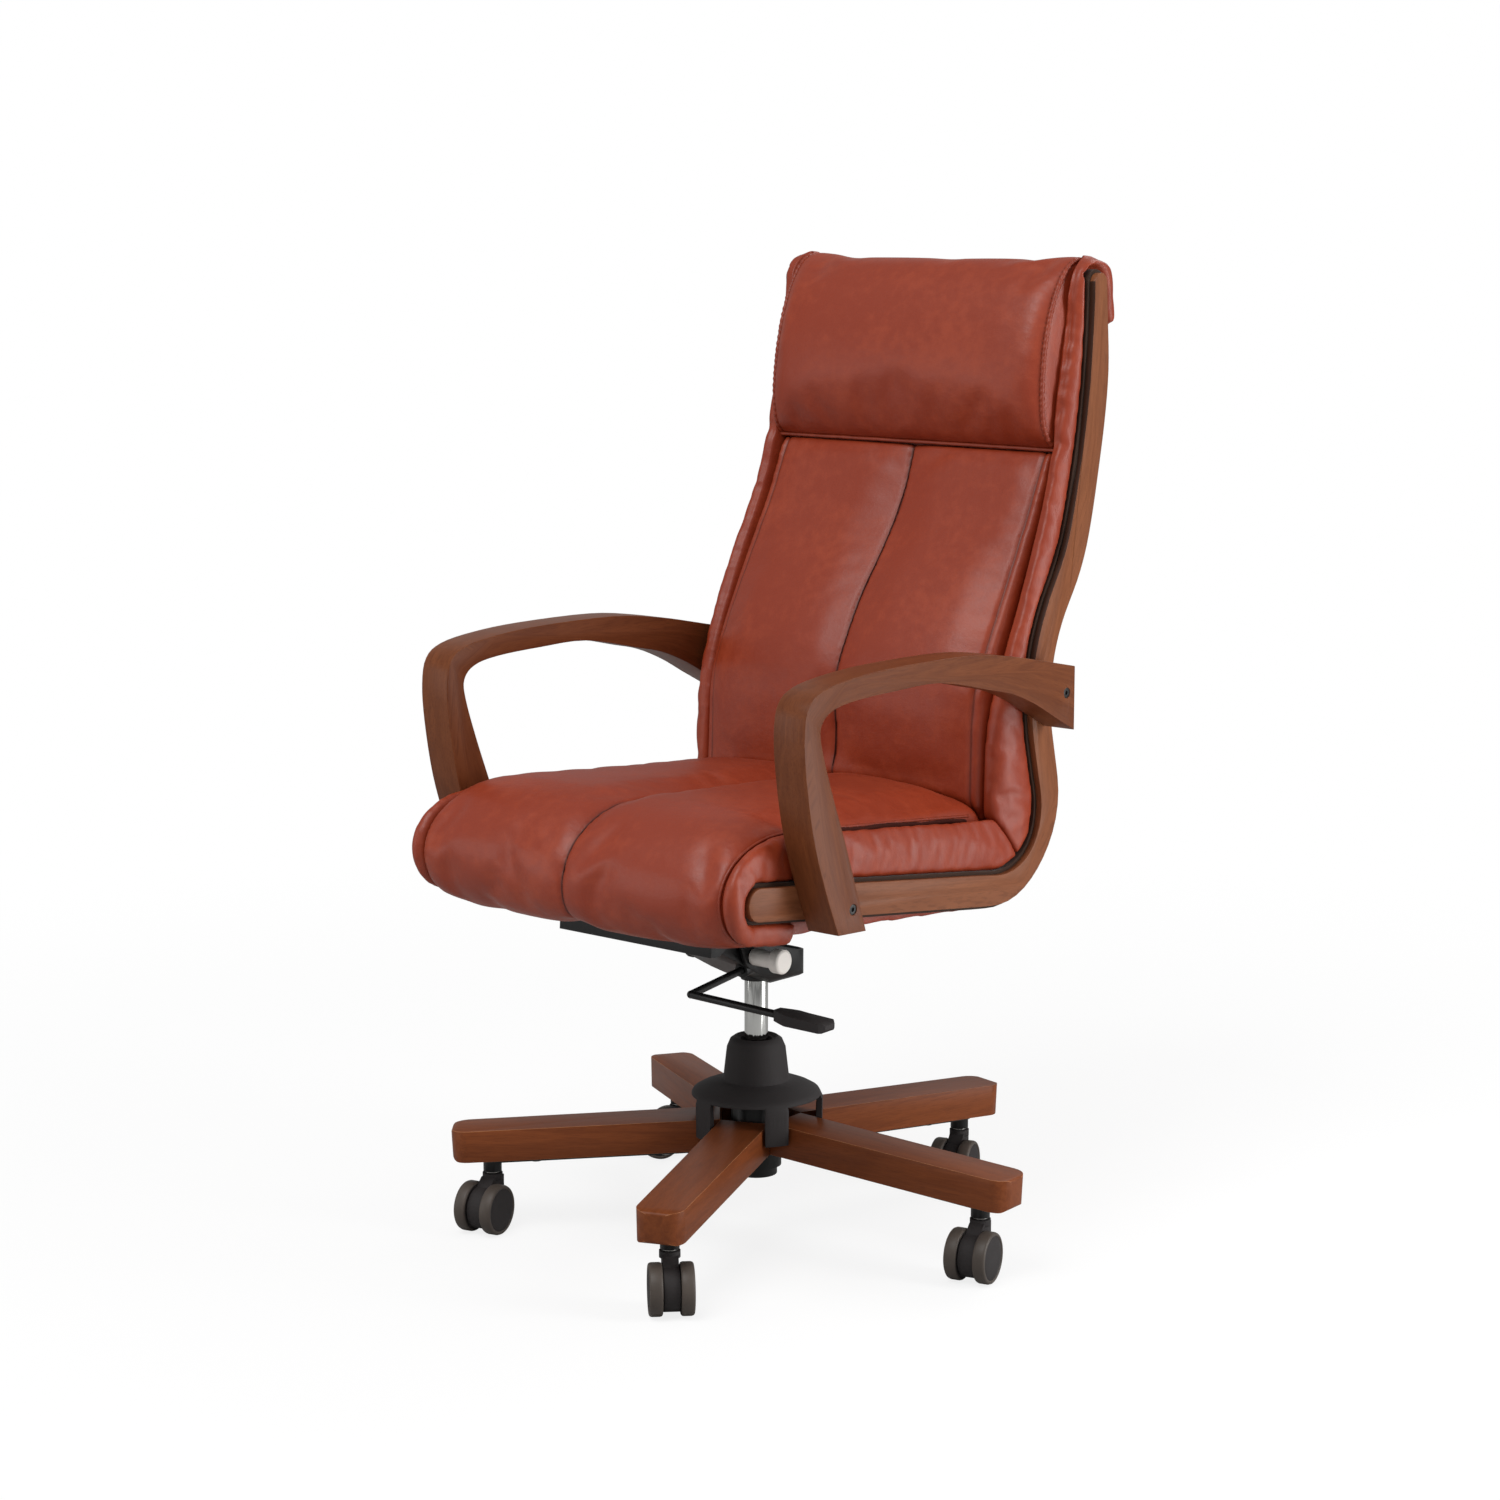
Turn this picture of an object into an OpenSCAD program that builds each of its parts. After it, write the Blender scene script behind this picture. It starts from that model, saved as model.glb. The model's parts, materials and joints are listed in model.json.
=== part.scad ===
// Executive office chair, millimetres. The origin is on the floor under the column; the chair faces -Y.

/* [Base] */
// Radius from the column to the tip of each leg
base_r = 363; // [320:1:420]
// Width of a leg at the hub
leg_w_hub = 60; // [50:1:66]
// Width of a leg at its tip
leg_w_tip = 56; // [44:1:60]
// Thickness of a leg
leg_t = 38; // [30:1:42]
// Height of the legs' top face where it would meet the column
leg_top = 144; // [138:1:160]
// Fall of a leg from hub to tip, in degrees
leg_fall = 3.05; // [1:0.05:4]
// Corner radius of a leg's tip, in plan
leg_corner_r = 20; // [8:1:24]
// Direction of the first leg, in degrees
base_turn = 221.2; // [0:0.1:360]
// Width of the steel strap under a leg
strap_w = 34; // [26:1:44]
// Thickness of the steel strap
strap_t = 5; // [4:0.5:6]
// Wall of the hub tube
hub_wall = 5; // [3:0.5:7]
// Radius from the column to the outer leg screw
screw_r_out = 265; // [240:1:280]
// Radius from the column to the inner leg screw
screw_r_in = 110; // [95:1:150]

/* [Hub cover] */
// Radius of the cover's skirt
cover_r = 77; // [70:1:84]
// Wall of the cover
cover_wall = 3; // [2:0.5:4]
// Height of the skirt's rim above the legs where they meet the column
cover_rim_up = 22; // [14:1:30]
// Width of a claw
claw_w = 31; // [24:1:36]
// Reach of a claw below the rim
claw_drop = 45; // [30:1:50]

/* [Casters] */
// Radius from the column to each caster's stem
caster_r = 315; // [290:1:325]
// Diameter of a wheel
wheel_d = 60; // [50:1:62]
// Width of a wheel
wheel_w = 16; // [12:0.5:20]
// Width of the caster's body between the wheels
web_w = 18; // [14:0.5:24]
// Gap between a wheel and the body
wheel_gap = 1; // [0.5:0.1:2]
// Distance from stem to axle
trail = 20; // [14:0.5:24]
// Radius of the stem
stem_r = 5.5; // [4:0.5:6]
// Radius of the axle
axle_r = 3; // [2.5:0.25:4]
// Radius of the body's neck
neck_r = 12; // [9:0.5:13]
// Gap between the body and the stem's flange
neck_gap = 0.4; // [0.2:0.1:1]

/* [Gas column] */
// Radius of the sliding cylinder
cyl_r = 14; // [12:0.5:15]
// Radius of the outer tube
tube_r = 25; // [23:0.5:28]
// Height of the outer tube's foot above the floor
tube_foot = 68; // [60:1:74]
// Length of the outer tube
tube_len = 158; // [152:1:164]
// Height of the mechanism above the outer tube, at this setting
column_rise = 80; // [74:1:110]
// Travel down from this setting
stroke_down = 60; // [40:1:60]
// Travel up from this setting
stroke_up = 40; // [20:1:50]
// Radius of the piston rod
rod_r = 5; // [4:0.5:6]
// Wall of the sliding cylinder
cyl_wall = 3; // [2:0.5:4]
// Travel of the valve button
button_travel = 5; // [3:0.5:6]

/* [Tilt mechanism] */
// Width of the pan
pan_w = 82; // [78:1:92]
// Sheet thickness of the pan
pan_t = 2.5; // [2:0.5:4]
// Reach of the pan in front of the column
pan_front = 150; // [145:1:160]
// Reach of the pan behind the column
pan_rear = 59; // [54:1:68]
// Distance of the tilt shaft in front of the column
shaft_front = 60; // [54:1:66]
// Height of the tilt shaft above the pan's floor
shaft_up = 44; // [42:1:47]
// Radius of the tilt shaft
shaft_r = 6; // [5:0.5:7]
// Length of the knob's sleeve
knob_sleeve_len = 34; // [20:1:40]
// Radius of the knob's sleeve
knob_sleeve_r = 10; // [9:0.5:12]
// Radius of the knob's cap
knob_cap_r = 14.5; // [12:0.5:18]
// Thickness of the knob's cap
knob_cap_t = 14; // [8:0.5:16]
// Width of the seat bracket
bracket_w = 234; // [220:1:280]
// Length of the seat bracket
bracket_len = 260; // [230:1:290]
// Sheet thickness of the seat bracket
bracket_t = 4; // [3:0.5:5]
// Depth of the bracket's front flange
bracket_flange = 40; // [30:1:44]
// Thickness of a bracket ear
ear_t = 5; // [4:0.5:6]

/* [Lever] */
// Radius of the lever rod
lever_r = 4.5; // [3.5:0.25:5]
// Distance of the lever's elbow in front of the column
elbow_front = 161; // [150:1:175]
// Sideways reach of the lever to the paddle
lever_reach = 170; // [150:1:190]
// Length of the paddle
paddle_len = 72; // [60:1:90]
// Width of the paddle
paddle_w = 30; // [22:1:36]
// Thickness of the paddle
paddle_t = 10; // [10:0.5:12]

/* [Seat and back line] */
// Distance of the side strip's front end in front of the column
seat_front = 280; // [270:1:290]
// Height of the side strip's front end above the pan's floor
seat_up = 168; // [162:1:180]
// Fall of the seat to the rear, in degrees
seat_fall = 6.8; // [6:0.1:7.5]
// Straight length of the strip along the seat
seat_run = 420; // [400:1:440]
// Radius of the bend between seat and back
bend_r = 94; // [90:1:100]
// Angle of the bend between seat and back
bend_turn = 110; // [108:0.5:112]
// Straight length above the bend
low_run = 50; // [40:1:60]
// Radius of the hollow at the small of the back
lumbar_r = 233; // [200:1:270]
// Angle of the hollow at the small of the back
lumbar_turn = 44.5; // [40:0.5:47]
// Straight length between the hollow and the bow
mid_run = 18; // [10:1:30]
// Radius of the bow behind the shoulders
bow_r = 282; // [240:1:330]
// Angle of the bow behind the shoulders
bow_turn = 12.8; // [10:0.1:16]
// Radius of the top run
top_r = 792; // [650:1:900]
// Angle of the top run
top_turn = 20.8; // [18:0.1:23]

/* [Side strips] */
// Thickness of the wooden strip
strip_t = 8; // [6:0.5:10]
// Width of the strip, seen from the side
strip_w = 36.5; // [32:0.5:40]
// How far strips and frame step back from the line beside the headrest
top_set = 12; // [0:0.5:16]
// Thickness of the dark lining behind the strip
lining_t = 11; // [8:0.5:12]
// How far the lining stands out round the strip
lining_edge = 4; // [2:0.5:6]

/* [Arms] */
// Thickness of an arm, across the chair
arm_t = 43; // [34:1:50]
// Radius of an arm bolt's shank
arm_bolt_r = 4; // [3:0.5:5]
// Radius of an arm bolt's cap
arm_cap_r = 6; // [5.5:0.5:8]

/* [Upholstery] */
// Width of the seat pad at its front
seat_pad_w = 456; // [430:2:500]
// How much narrower the back pad is than the seat pad, at each side
back_step = 14; // [8:1:24]
// How far the side linings stand off the widest part of the seat pad
lining_off = 1.5; // [1:0.1:4]
// Thickness of the inner frame above the strip's middle line
frame_up = 12.4; // [8:0.1:14]
// Gap between two upholstered pieces
pad_gap = 0.4; // [0.3:0.05:0.8]
// Gap between a pad and the frame under it, or a side panel and the lining it wraps
bed_gap = 1.1; // [0.9:0.1:1.6]
// Height of the seat pad's edge above the strip's middle line, at the front
seat_edge_h = 76; // [68:1:84]
// Height that the seat pad's middle gains over its edge, at the front
seat_crown = 13; // [4:1:16]
// Reach of the seat pad's edge in front of the strip
nose_reach = 43; // [34:1:50]
// Reach that the nose gains in its middle
nose_crown = 10; // [4:1:14]
// Depth of the nose below the strip's middle line
nose_drop = 50; // [45:1:56]
// Depth of the sewn centre channel
channel = 5; // [2:0.5:8]
// Height of the headrest's bulge above the strip's middle line, at its ends
head_edge_h = 54; // [44:1:62]
// Height that the headrest's bulge gains in its middle
head_crown = 12; // [4:1:16]
// How far the headrest's ends draw in where it bulges most
head_draw = 8; // [0:1:24]
// How far the seat panels swell sideways at the nose
nose_swell = 8; // [0:0.5:9]

/* [Hidden] */

leg_count = 5;
leg_step = 360 / leg_count;
fit = 0.05;
round_fn = 48;
// Direction in which each caster trails, in degrees
caster_trails = [283.5, -43.7, -75.5, -70, 200];

leather = [0.56, 0.27, 0.20];
wood = [0.42, 0.26, 0.18];
black = [0.12, 0.11, 0.11];
steel = [0.2, 0.2, 0.21];
chrome = [0.78, 0.76, 0.74];
pale = [0.88, 0.85, 0.80];
grey = [0.42, 0.37, 0.33];

// Heights of the stack, from the floor up
tube_top = tube_foot + tube_len;
pan_z = tube_top + column_rise;
shaft_z = pan_z + shaft_up;
clip_t = 4;
bearing_t = 8;
socket_up = 38;
button_show = 10;
cyl_top = pan_z + socket_up - 2;
button_top = cyl_top + button_show;
cyl_foot = tube_foot + clip_t + bearing_t + stroke_down + 0.5;

// Plain helpers
function mix(a, b, t) = a + (b - a) * t;
function unit(a) = [cos(a), sin(a)];
function left_of(a) = [-sin(a), cos(a)];
function last(v) = v[len(v) - 1];
function arc_len(r, turn) = r * turn * PI / 180;

// Curve through points p, with n samples on each stretch
function curve_point(p, i, t) =
    let (a = p[max(i - 1, 0)], b = p[i], c = p[i + 1], d = p[min(i + 2, len(p) - 1)])
    0.5 * (2 * b + (c - a) * t + (2 * a - 5 * b + 4 * c - d) * t * t + (3 * b - a - 3 * c + d) * t * t * t);
function smooth(p, n) = concat(
    [for (i = [0:len(p) - 2], j = [0:n - 1]) curve_point(p, i, j / n)],
    [last(p)]
);

// The seat and back line: runs of [length, turn], walked from the strip's front end in the Y, Z plane
runs = [
    [seat_run, 0],
    [arc_len(bend_r, bend_turn), bend_turn],
    [low_run, 0],
    [arc_len(lumbar_r, lumbar_turn), -lumbar_turn],
    [mid_run, 0],
    [arc_len(bow_r, bow_turn), bow_turn],
    [arc_len(top_r, top_turn), top_turn]
];
function run_end(p, a, l, t) = abs(t) < 0.001
    ? p + l * unit(a)
    : p + l * 180 / (PI * t) * [sin(a + t) - sin(a), cos(a) - cos(a + t)];
function knot(i) = i == 0
    ? [0, [-seat_front, pan_z + seat_up], -seat_fall]
    : let (k = knot(i - 1), r = runs[i - 1]) [k[0] + r[0], run_end(k[1], k[2], r[0], r[1]), k[2] + r[1]];
knots = [for (i = [0:len(runs)]) knot(i)];
line_len = last(knots)[0];
bend_start = knots[1][0];
bend_end = knots[2][0];
mitre_s = bend_start + 0.39 * (bend_end - bend_start);
function run_at(s) = max([for (i = [0:len(runs) - 1]) if (i == 0 || s >= knots[i][0]) i]);
function line_at(s) =
    let (i = run_at(s), k = knots[i], l = s - k[0], t = runs[i][1] * l / runs[i][0])
    [run_end(k[1], k[2], l, t), k[2] + t];
// Point at distance s along the line and n above it; seat_at keeps to the seat's straight part
function at(s, n) = let (q = line_at(s)) q[0] + n * left_of(q[1]);
function seat_at(s, n) = knots[0][1] + s * unit(-seat_fall) + n * left_of(-seat_fall);

// Half the strip's width along the line: slimmer in the bend and at the top
function swell(s, middle, reach) = exp(-pow((s - middle) / reach, 2));
function strip_half(s) = strip_w / 2
    - strip_w / 7 * swell(s, (bend_start + bend_end) / 2, 60)
    - strip_w / 6 * swell(s, line_len, 70);
// How far the strip's middle lies behind the line: it steps back up the lower half of the back
function set_back(s) =
    let (u = min(1, max(0, (s - bend_end - 90) / 310)))
    top_set * u * u * (3 - 2 * u);
// Outline of a band round the strip's middle, grown by edge, with round ends
function band_end(s, edge, turn) =
    let (r = strip_half(s) + edge)
    [for (a = [90:-15:-90]) let (q = r * unit(a)) at(s + turn * q[0], q[1] - set_back(s))];
function band(edge) =
    let (n = 84, s = [for (i = [1:n - 1]) line_len * i / n])
    concat(
        [for (v = s) at(v, strip_half(v) + edge - set_back(v))],
        band_end(line_len, edge, 1),
        [for (i = [n - 2:-1:0]) at(s[i], -strip_half(s[i]) - edge - set_back(s[i]))],
        [for (i = [12:-1:0]) band_end(0, edge, -1)[i]]
    );

// Depth of the upholstered frame below and behind the line
frame_front_s = 72;
frame_top_s = line_len - 46;
frame_front_drop = 41;
frame_drop = 24;
function frame_below(s) = s < bend_start
    ? mix(frame_front_drop, frame_drop, (s - frame_front_s) / (bend_start - frame_front_s))
    : frame_drop + 7 * min(1, max(0, (s - frame_top_s + 130) / 100)) + set_back(s);

// Layers across the chair, measured from the middle plane
seat_pad_x = seat_pad_w / 2;
back_pad_x = seat_pad_x - back_step;
panel_x = seat_pad_x + lining_off;
lining_x = panel_x + lining_t;
strip_x = lining_x + strip_t;
arm_x = strip_x;

// Laid-down frame of the bracket: its top face lies on the frame's underside
bracket_s = frame_front_s + 4;
bracket_p = at(bracket_s, -frame_below(bracket_s));
bracket_q = at(bench_end(), -frame_below(bench_end()));
function bench_end() = bracket_s + bracket_len;
bracket_tilt = atan2(bracket_q[1] - bracket_p[1], bracket_q[0] - bracket_p[0]);

// Places a Y, Z outline as a slab between two X planes
module slab(x0, x1) {
    translate([x0, 0, 0]) rotate([90, 0, 90]) linear_extrude(x1 - x0) children();
}
module on_leg(k) {
    rotate([0, 0, base_turn + leg_step * (k - 1)]) children();
}
// Frame of a leg: X along its sloped top face, Z = 0 on that face
module on_leg_slope(k) {
    on_leg(k) translate([0, 0, leg_top]) rotate([0, leg_fall, 0]) children();
}
module bar(p, q, r) {
    d = q - p;
    translate(p) rotate([0, acos(d[2] / norm(d)), atan2(d[1], d[0])]) cylinder(h = norm(d), r = r, $fn = round_fn);
}
// Solid through rings of equal size; each ring is an outer curve and then its inner partner, reversed
module loft(rings, flip = false) {
    n = len(rings[0]);
    m = len(rings);
    half = n / 2;
    walls = [for (j = [0:m - 2], i = [0:n - 1]) let (a = j * n + i, b = j * n + (i + 1) % n) each
        [[a, b, b + n], [a, b + n, a + n]]];
    first_cap = [for (i = [0:half - 2]) each
        [[i, n - 1 - i, i + 1], [i + 1, n - 1 - i, n - 2 - i]]];
    last_cap = [for (f = first_cap) [f[2], f[1], f[0]] + (m - 1) * [n, n, n]];
    faces = concat(walls, first_cap, last_cap);
    polyhedron(
        [for (r = rings) each r],
        flip ? [for (f = faces) [f[2], f[1], f[0]]] : faces,
        convexity = 6
    );
}

// Base

leg_start = leg_w_hub / 2 / tan(leg_step / 2) + 2;
slope_run = 1 / cos(leg_fall);
strap_z = -leg_t - strap_t - 0.02;
socket_drop = 13;
socket_r = 11;
hub_r = tube_r + fit + hub_wall;
socket_face = leg_top - caster_r * tan(leg_fall) - (leg_t + strap_t) / cos(leg_fall) - socket_drop;
screw_r = 3;
leg_hole_depth = 24;

module leg_plan() {
    tip = base_r * slope_run;
    c = leg_corner_r;
    w0 = leg_w_hub / 2;
    w1 = leg_w_tip / 2;
    polygon(concat(
        [[leg_start, -w0]],
        [for (a = [-90:15:0]) [tip - c, -w1 + c] + c * unit(a)],
        [for (a = [0:15:90]) [tip - c, w1 - c] + c * unit(a)],
        [[leg_start, w0]]
    ));
}
module leg_side() {
    tip = base_r * slope_run;
    c = leg_t / 5;
    polygon(concat(
        [[leg_start, 0], [leg_start, -leg_t]],
        [for (a = [-90:15:0]) [tip - c, -leg_t + c] + c * unit(a)],
        [for (a = [0:15:90]) [tip - c / 2, -c / 2] + c / 2 * unit(a)]
    ));
}
module base_leg(k) {
    color(wood) on_leg_slope(k) difference() {
        intersection() {
            translate([0, 0, -leg_t - 1]) linear_extrude(leg_t + 2) leg_plan();
            translate([0, leg_w_hub, 0]) rotate([90, 0, 0]) linear_extrude(2 * leg_w_hub) leg_side();
        }
        for (r = [screw_r_in, screw_r_out])
            translate([r, 0, -leg_t - 1]) cylinder(h = leg_hole_depth + 1, r = screw_r + fit, $fn = 24);
    }
}
module strap(k) {
    r_end = caster_r + socket_r + 4;
    on_leg_slope(k) difference() {
        translate([tube_r + hub_wall / 2, -strap_w / 2, strap_z])
            cube([r_end - strap_w / 2 - tube_r - hub_wall / 2, strap_w, strap_t]);
        for (r = [screw_r_in, screw_r_out])
            translate([r, 0, strap_z - 1]) cylinder(h = strap_t + 2, r = screw_r + fit, $fn = 24);
    }
    on_leg_slope(k) translate([r_end - strap_w / 2, 0, strap_z])
        cylinder(h = strap_t, r = strap_w / 2, $fn = round_fn);
    on_leg(k) translate([caster_r, 0, socket_face])
        cylinder(h = socket_drop + strap_t / 2, r = socket_r, $fn = round_fn);
}
module base_frame() {
    hub_foot = leg_top - leg_t - strap_t - 22;
    hub_head = leg_top + 14;
    stem_bore = stem_len + 1;
    color(steel) difference() {
        union() {
            translate([0, 0, hub_foot]) cylinder(h = hub_head - hub_foot, r = hub_r, $fn = 72);
            for (k = [1:leg_count]) strap(k);
        }
        translate([0, 0, hub_foot - 1]) cylinder(h = hub_head - hub_foot + 2, r = tube_r + fit, $fn = 72);
        for (k = [1:leg_count])
            on_leg(k) translate([caster_r, 0, socket_face - 1])
                cylinder(h = stem_bore + 1, r = stem_r + fit, $fn = 36);
    }
}
module leg_screws() {
    head_r = 6.5;
    head_t = 4;
    color(chrome * 0.6) for (k = [1:leg_count], r = [screw_r_in, screw_r_out])
        on_leg_slope(k) translate([r, 0, strap_z]) {
            translate([0, 0, -head_t]) difference() {
                cylinder(h = head_t, r = head_r, $fn = 24);
                translate([0, 0, -1]) cylinder(h = head_t / 2 + 1, r = head_r / 2.4, $fn = 6);
            }
            cylinder(h = leg_hole_depth + strap_t - 1, r = screw_r, $fn = 24);
        }
}

// Hub cover

cover_rim = leg_top + cover_rim_up;
cover_top = tube_top + 10;
drum_r = tube_r + 10.5;
module hub_cover() {
    w = cover_wall;
    base = cover_rim + 18;
    drum_foot = tube_r + 14.5;
    shoulder = [[tube_r - 3, cover_top - 3], [tube_r + 1, cover_top], [tube_r + 6, cover_top - 3.5],
                [drum_r - 0.5, cover_top - 13], [drum_r + 1, cover_top - 26]];
    dome = [[drum_foot, base], [drum_foot + 3, base - 1.5], [cover_r - 22, base - 4], [cover_r - 9, base - 9],
            [cover_r - 2, base - 13], [cover_r, base - 16.5], [cover_r, cover_rim]];
    under = [[cover_r - w, cover_rim], [cover_r - w - 1, base - 16], [cover_r - 11, base - 12],
             [cover_r - 24, base - 7.5], [drum_foot - w, base - 5], [drum_r - w, cover_top - 26],
             [drum_r - w - 0.5, cover_top - 14]];
    top_wall = [[tube_r + 2, tube_top + 2 * fit], [cyl_r + 5, tube_top + 2 * fit], [cyl_r + 5, cover_top - 3]];
    free_a = leg_step / 2 - asin((leg_w_hub / 2 + 0.6) / (cover_r - 2 * w));
    claw_a = 2 * min(free_a, asin(claw_w / 2 / cover_r));
    color(black) {
        rotate_extrude($fn = 96) polygon(concat(shoulder, dome, under, top_wall));
        for (k = [1:leg_count])
            rotate([0, 0, base_turn + leg_step * (k - 0.5) - claw_a / 2])
                rotate_extrude(angle = claw_a, $fn = 96) polygon([
                    [cover_r - 2 * w, cover_rim - claw_drop], [cover_r + 0.6 * w, cover_rim - claw_drop],
                    [cover_r + 0.8 * w, cover_rim - 4], [cover_r, cover_rim + 1.5], [cover_r - w, cover_rim + 1]
                ]);
    }
}

// Gas column

module column_tube() {
    bore_r = tube_r - 2.5;
    color(black) translate([0, 0, tube_foot]) difference() {
        union() {
            cylinder(h = tube_len, r = tube_r, $fn = 72);
        }
        translate([0, 0, clip_t]) cylinder(h = tube_len, r = bore_r, $fn = 72);
        translate([0, 0, -1]) cylinder(h = clip_t + 2, r = rod_r + 2, $fn = 36);
    }
}
module column_guide() {
    guide_len = 60;
    color([0.25, 0.25, 0.26]) translate([0, 0, tube_top - guide_len]) difference() {
        cylinder(h = guide_len, r = tube_r - 2.5 - fit, $fn = 72);
        translate([0, 0, -1]) cylinder(h = guide_len + 2, r = cyl_r + fit, $fn = 72);
    }
}
module column_clip() {
    color(chrome) translate([0, 0, tube_foot - 2.4]) difference() {
        cylinder(h = 2, r = rod_r + 5, $fn = 36);
        translate([0, 0, -1]) cylinder(h = 4, r = rod_r - 1 + fit, $fn = 36);
        translate([0, -rod_r + 1, -1]) cube([2 * rod_r + 8, 2 * rod_r - 2, 4]);
    }
}
piston_at = tube_foot + 136;
module piston_rod() {
    tip = 4;
    color(chrome) {
        translate([0, 0, tube_foot - tip]) cylinder(h = 3.6, r = rod_r - 1, $fn = 36);
        translate([0, 0, tube_foot - tip - 2]) cylinder(h = 2, r = rod_r, $fn = 36);
        translate([0, 0, tube_foot - 0.4]) cylinder(h = piston_at - tube_foot + 0.4, r = rod_r, $fn = 36);
        translate([0, 0, piston_at - 8]) cylinder(h = 8, r = cyl_r - cyl_wall - fit, $fn = 48);
    }
}
module thrust_bearing() {
    color(steel) translate([0, 0, tube_foot + clip_t + 0.3]) difference() {
        union() {
            cylinder(h = bearing_t / 2, r = tube_r - 5, $fn = 48);
            cylinder(h = bearing_t - 0.3, r = rod_r + 6, $fn = 48);
        }
        translate([0, 0, -1]) cylinder(h = bearing_t + 2, r = rod_r + fit, $fn = 36);
    }
}
module gas_cylinder() {
    end_t = 8;
    bore_len = piston_at + stroke_down + 6 - cyl_foot;
    color(chrome) difference() {
        translate([0, 0, cyl_foot]) cylinder(h = cyl_top - cyl_foot, r = cyl_r, $fn = 72);
        translate([0, 0, cyl_foot - 1]) cylinder(h = end_t + 2, r = rod_r + fit, $fn = 36);
        translate([0, 0, cyl_foot + end_t]) cylinder(h = bore_len - end_t, r = cyl_r - cyl_wall, $fn = 48);
        translate([0, 0, cyl_top - button_travel - 12]) cylinder(h = button_travel + 13, r = 4 + fit, $fn = 36);
    }
}
module valve_button() {
    color(chrome) {
        translate([0, 0, cyl_top - 11]) cylinder(h = button_show + 10, r = 4, $fn = 36);
        translate([0, 0, button_top - 1]) cylinder(h = 1, r1 = 4, r2 = 2.5, $fn = 36);
    }
}

// Tilt mechanism

pan_top = pan_z + 50;
pan_slope_y = -8;
boss_r = 9;
// The lever's turning line runs from beside the valve to the elbow
lever_in = [26, 10, pan_z + 33];
elbow = [41, -elbow_front, pan_z + 16];
lever_dir = (elbow - lever_in) / norm(elbow - lever_in);
function lever_point(y) = lever_in + (lever_in[1] - y) / (lever_in[1] - elbow[1]) * (elbow - lever_in);

module pan_plan(wall) {
    r = pan_w / 2 - 8;
    polygon(concat(
        [[-pan_w / 2 + wall, -pan_front + wall], [pan_w / 2 - wall, -pan_front + wall]],
        [for (a = [0:10:90]) [pan_w / 2 - r, pan_rear - r] + (r - wall) * unit(a)],
        [for (a = [90:10:180]) [-pan_w / 2 + r, pan_rear - r] + (r - wall) * unit(a)]
    ));
}
module pan_side(lift) {
    polygon([
        [-pan_front - 1, pan_z + 74 + lift], [pan_slope_y - 100, pan_z + 54 + lift], [pan_slope_y, pan_z + lift],
        [pan_rear - 14, pan_z + lift], [pan_rear + 1, pan_z + 10 + lift], [pan_rear + 1, pan_z + 30 + 20 * lift],
        [pan_rear - 30, pan_z + 36 + 20 * lift], [-20, pan_top + 20 * lift], [-pan_front - 1, pan_z + 88 + 20 * lift]
    ]);
}
// Solid inside of the pan's outline, its lower edges taken off
module pan_block(wall) {
    h = 140;
    w = pan_w / 2 - wall;
    intersection() {
        translate([0, 0, pan_z - 1]) linear_extrude(h) pan_plan(wall);
        slab(-pan_w, pan_w) pan_side(wall);
        translate([0, pan_w * 2, 0]) rotate([90, 0, 0]) linear_extrude(4 * pan_w)
            polygon([[-w, pan_z + h], [-w, pan_z + 14], [-w + 5, pan_z + 5], [-w + 14, pan_z - 1],
                     [w - 14, pan_z - 1], [w - 5, pan_z + 5], [w, pan_z + 14], [w, pan_z + h]]);
    }
}
module tilt_housing() {
    color(black) difference() {
        union() {
            difference() {
                pan_block(0);
                pan_block(pan_t);
            }
            translate([0, 0, pan_z]) cylinder(h = socket_up, r = cyl_r + 4.5, $fn = 72);
            intersection() {
                bar(lever_point(-42), lever_point(-64), boss_r);
                translate([0, 0, pan_z]) linear_extrude(90) pan_plan(0);
            }
            for (side = [-1, 1])
                translate([side * (pan_w / 2 - pan_t - 1.5), -shaft_front, shaft_z]) rotate([0, 90, 0])
                    cylinder(h = 5, r = shaft_r + 4, center = true, $fn = 48);
        }
        translate([0, 0, pan_z - 1]) cylinder(h = socket_up + 2, r = cyl_r + fit, $fn = 72);
        bar(lever_point(-40), lever_point(-130), lever_r + fit);
        translate([-pan_w, -shaft_front, shaft_z]) rotate([0, 90, 0])
            cylinder(h = 2 * pan_w, r = shaft_r + fit, $fn = 48);
    }
}
ear_x = pan_w / 2 + 2;
shaft_end = ear_x + ear_t + knob_sleeve_len - 2;
module tilt_shaft() {
    head_t = 3;
    color(chrome) {
        translate([-ear_x - ear_t - 0.4, -shaft_front, shaft_z]) rotate([0, 90, 0])
            cylinder(h = ear_x + ear_t + 0.4 + shaft_end, r = shaft_r, $fn = 48);
        translate([-ear_x - ear_t - 0.4 - head_t, -shaft_front, shaft_z]) rotate([0, 90, 0])
            cylinder(h = head_t, r = shaft_r + 3, $fn = 48);
    }
}
module coil_spring(x0, x1, r, wire, turns) {
    sides = 6;
    per_turn = 14;
    n = turns * per_turn;
    rings = [for (i = [0:n]) let (a = 360 * i / per_turn)
        [for (j = [0:sides - 1]) let (b = 360 * j / sides, q = r + wire * cos(b))
            [mix(x0, x1, i / n) + wire * sin(b), q * cos(a), q * sin(a)]]];
    walls = [for (j = [0:n - 1], i = [0:sides - 1]) let (a = j * sides + i, b = j * sides + (i + 1) % sides) each
        [[a, b, b + sides], [a, b + sides, a + sides]]];
    first_cap = [for (i = [1:sides - 2]) [0, i + 1, i]];
    last_cap = [for (f = first_cap) [f[2], f[1], f[0]] + n * [sides, sides, sides]];
    polyhedron([for (v = rings) each v], concat(walls, first_cap, last_cap), convexity = 8);
}
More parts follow.
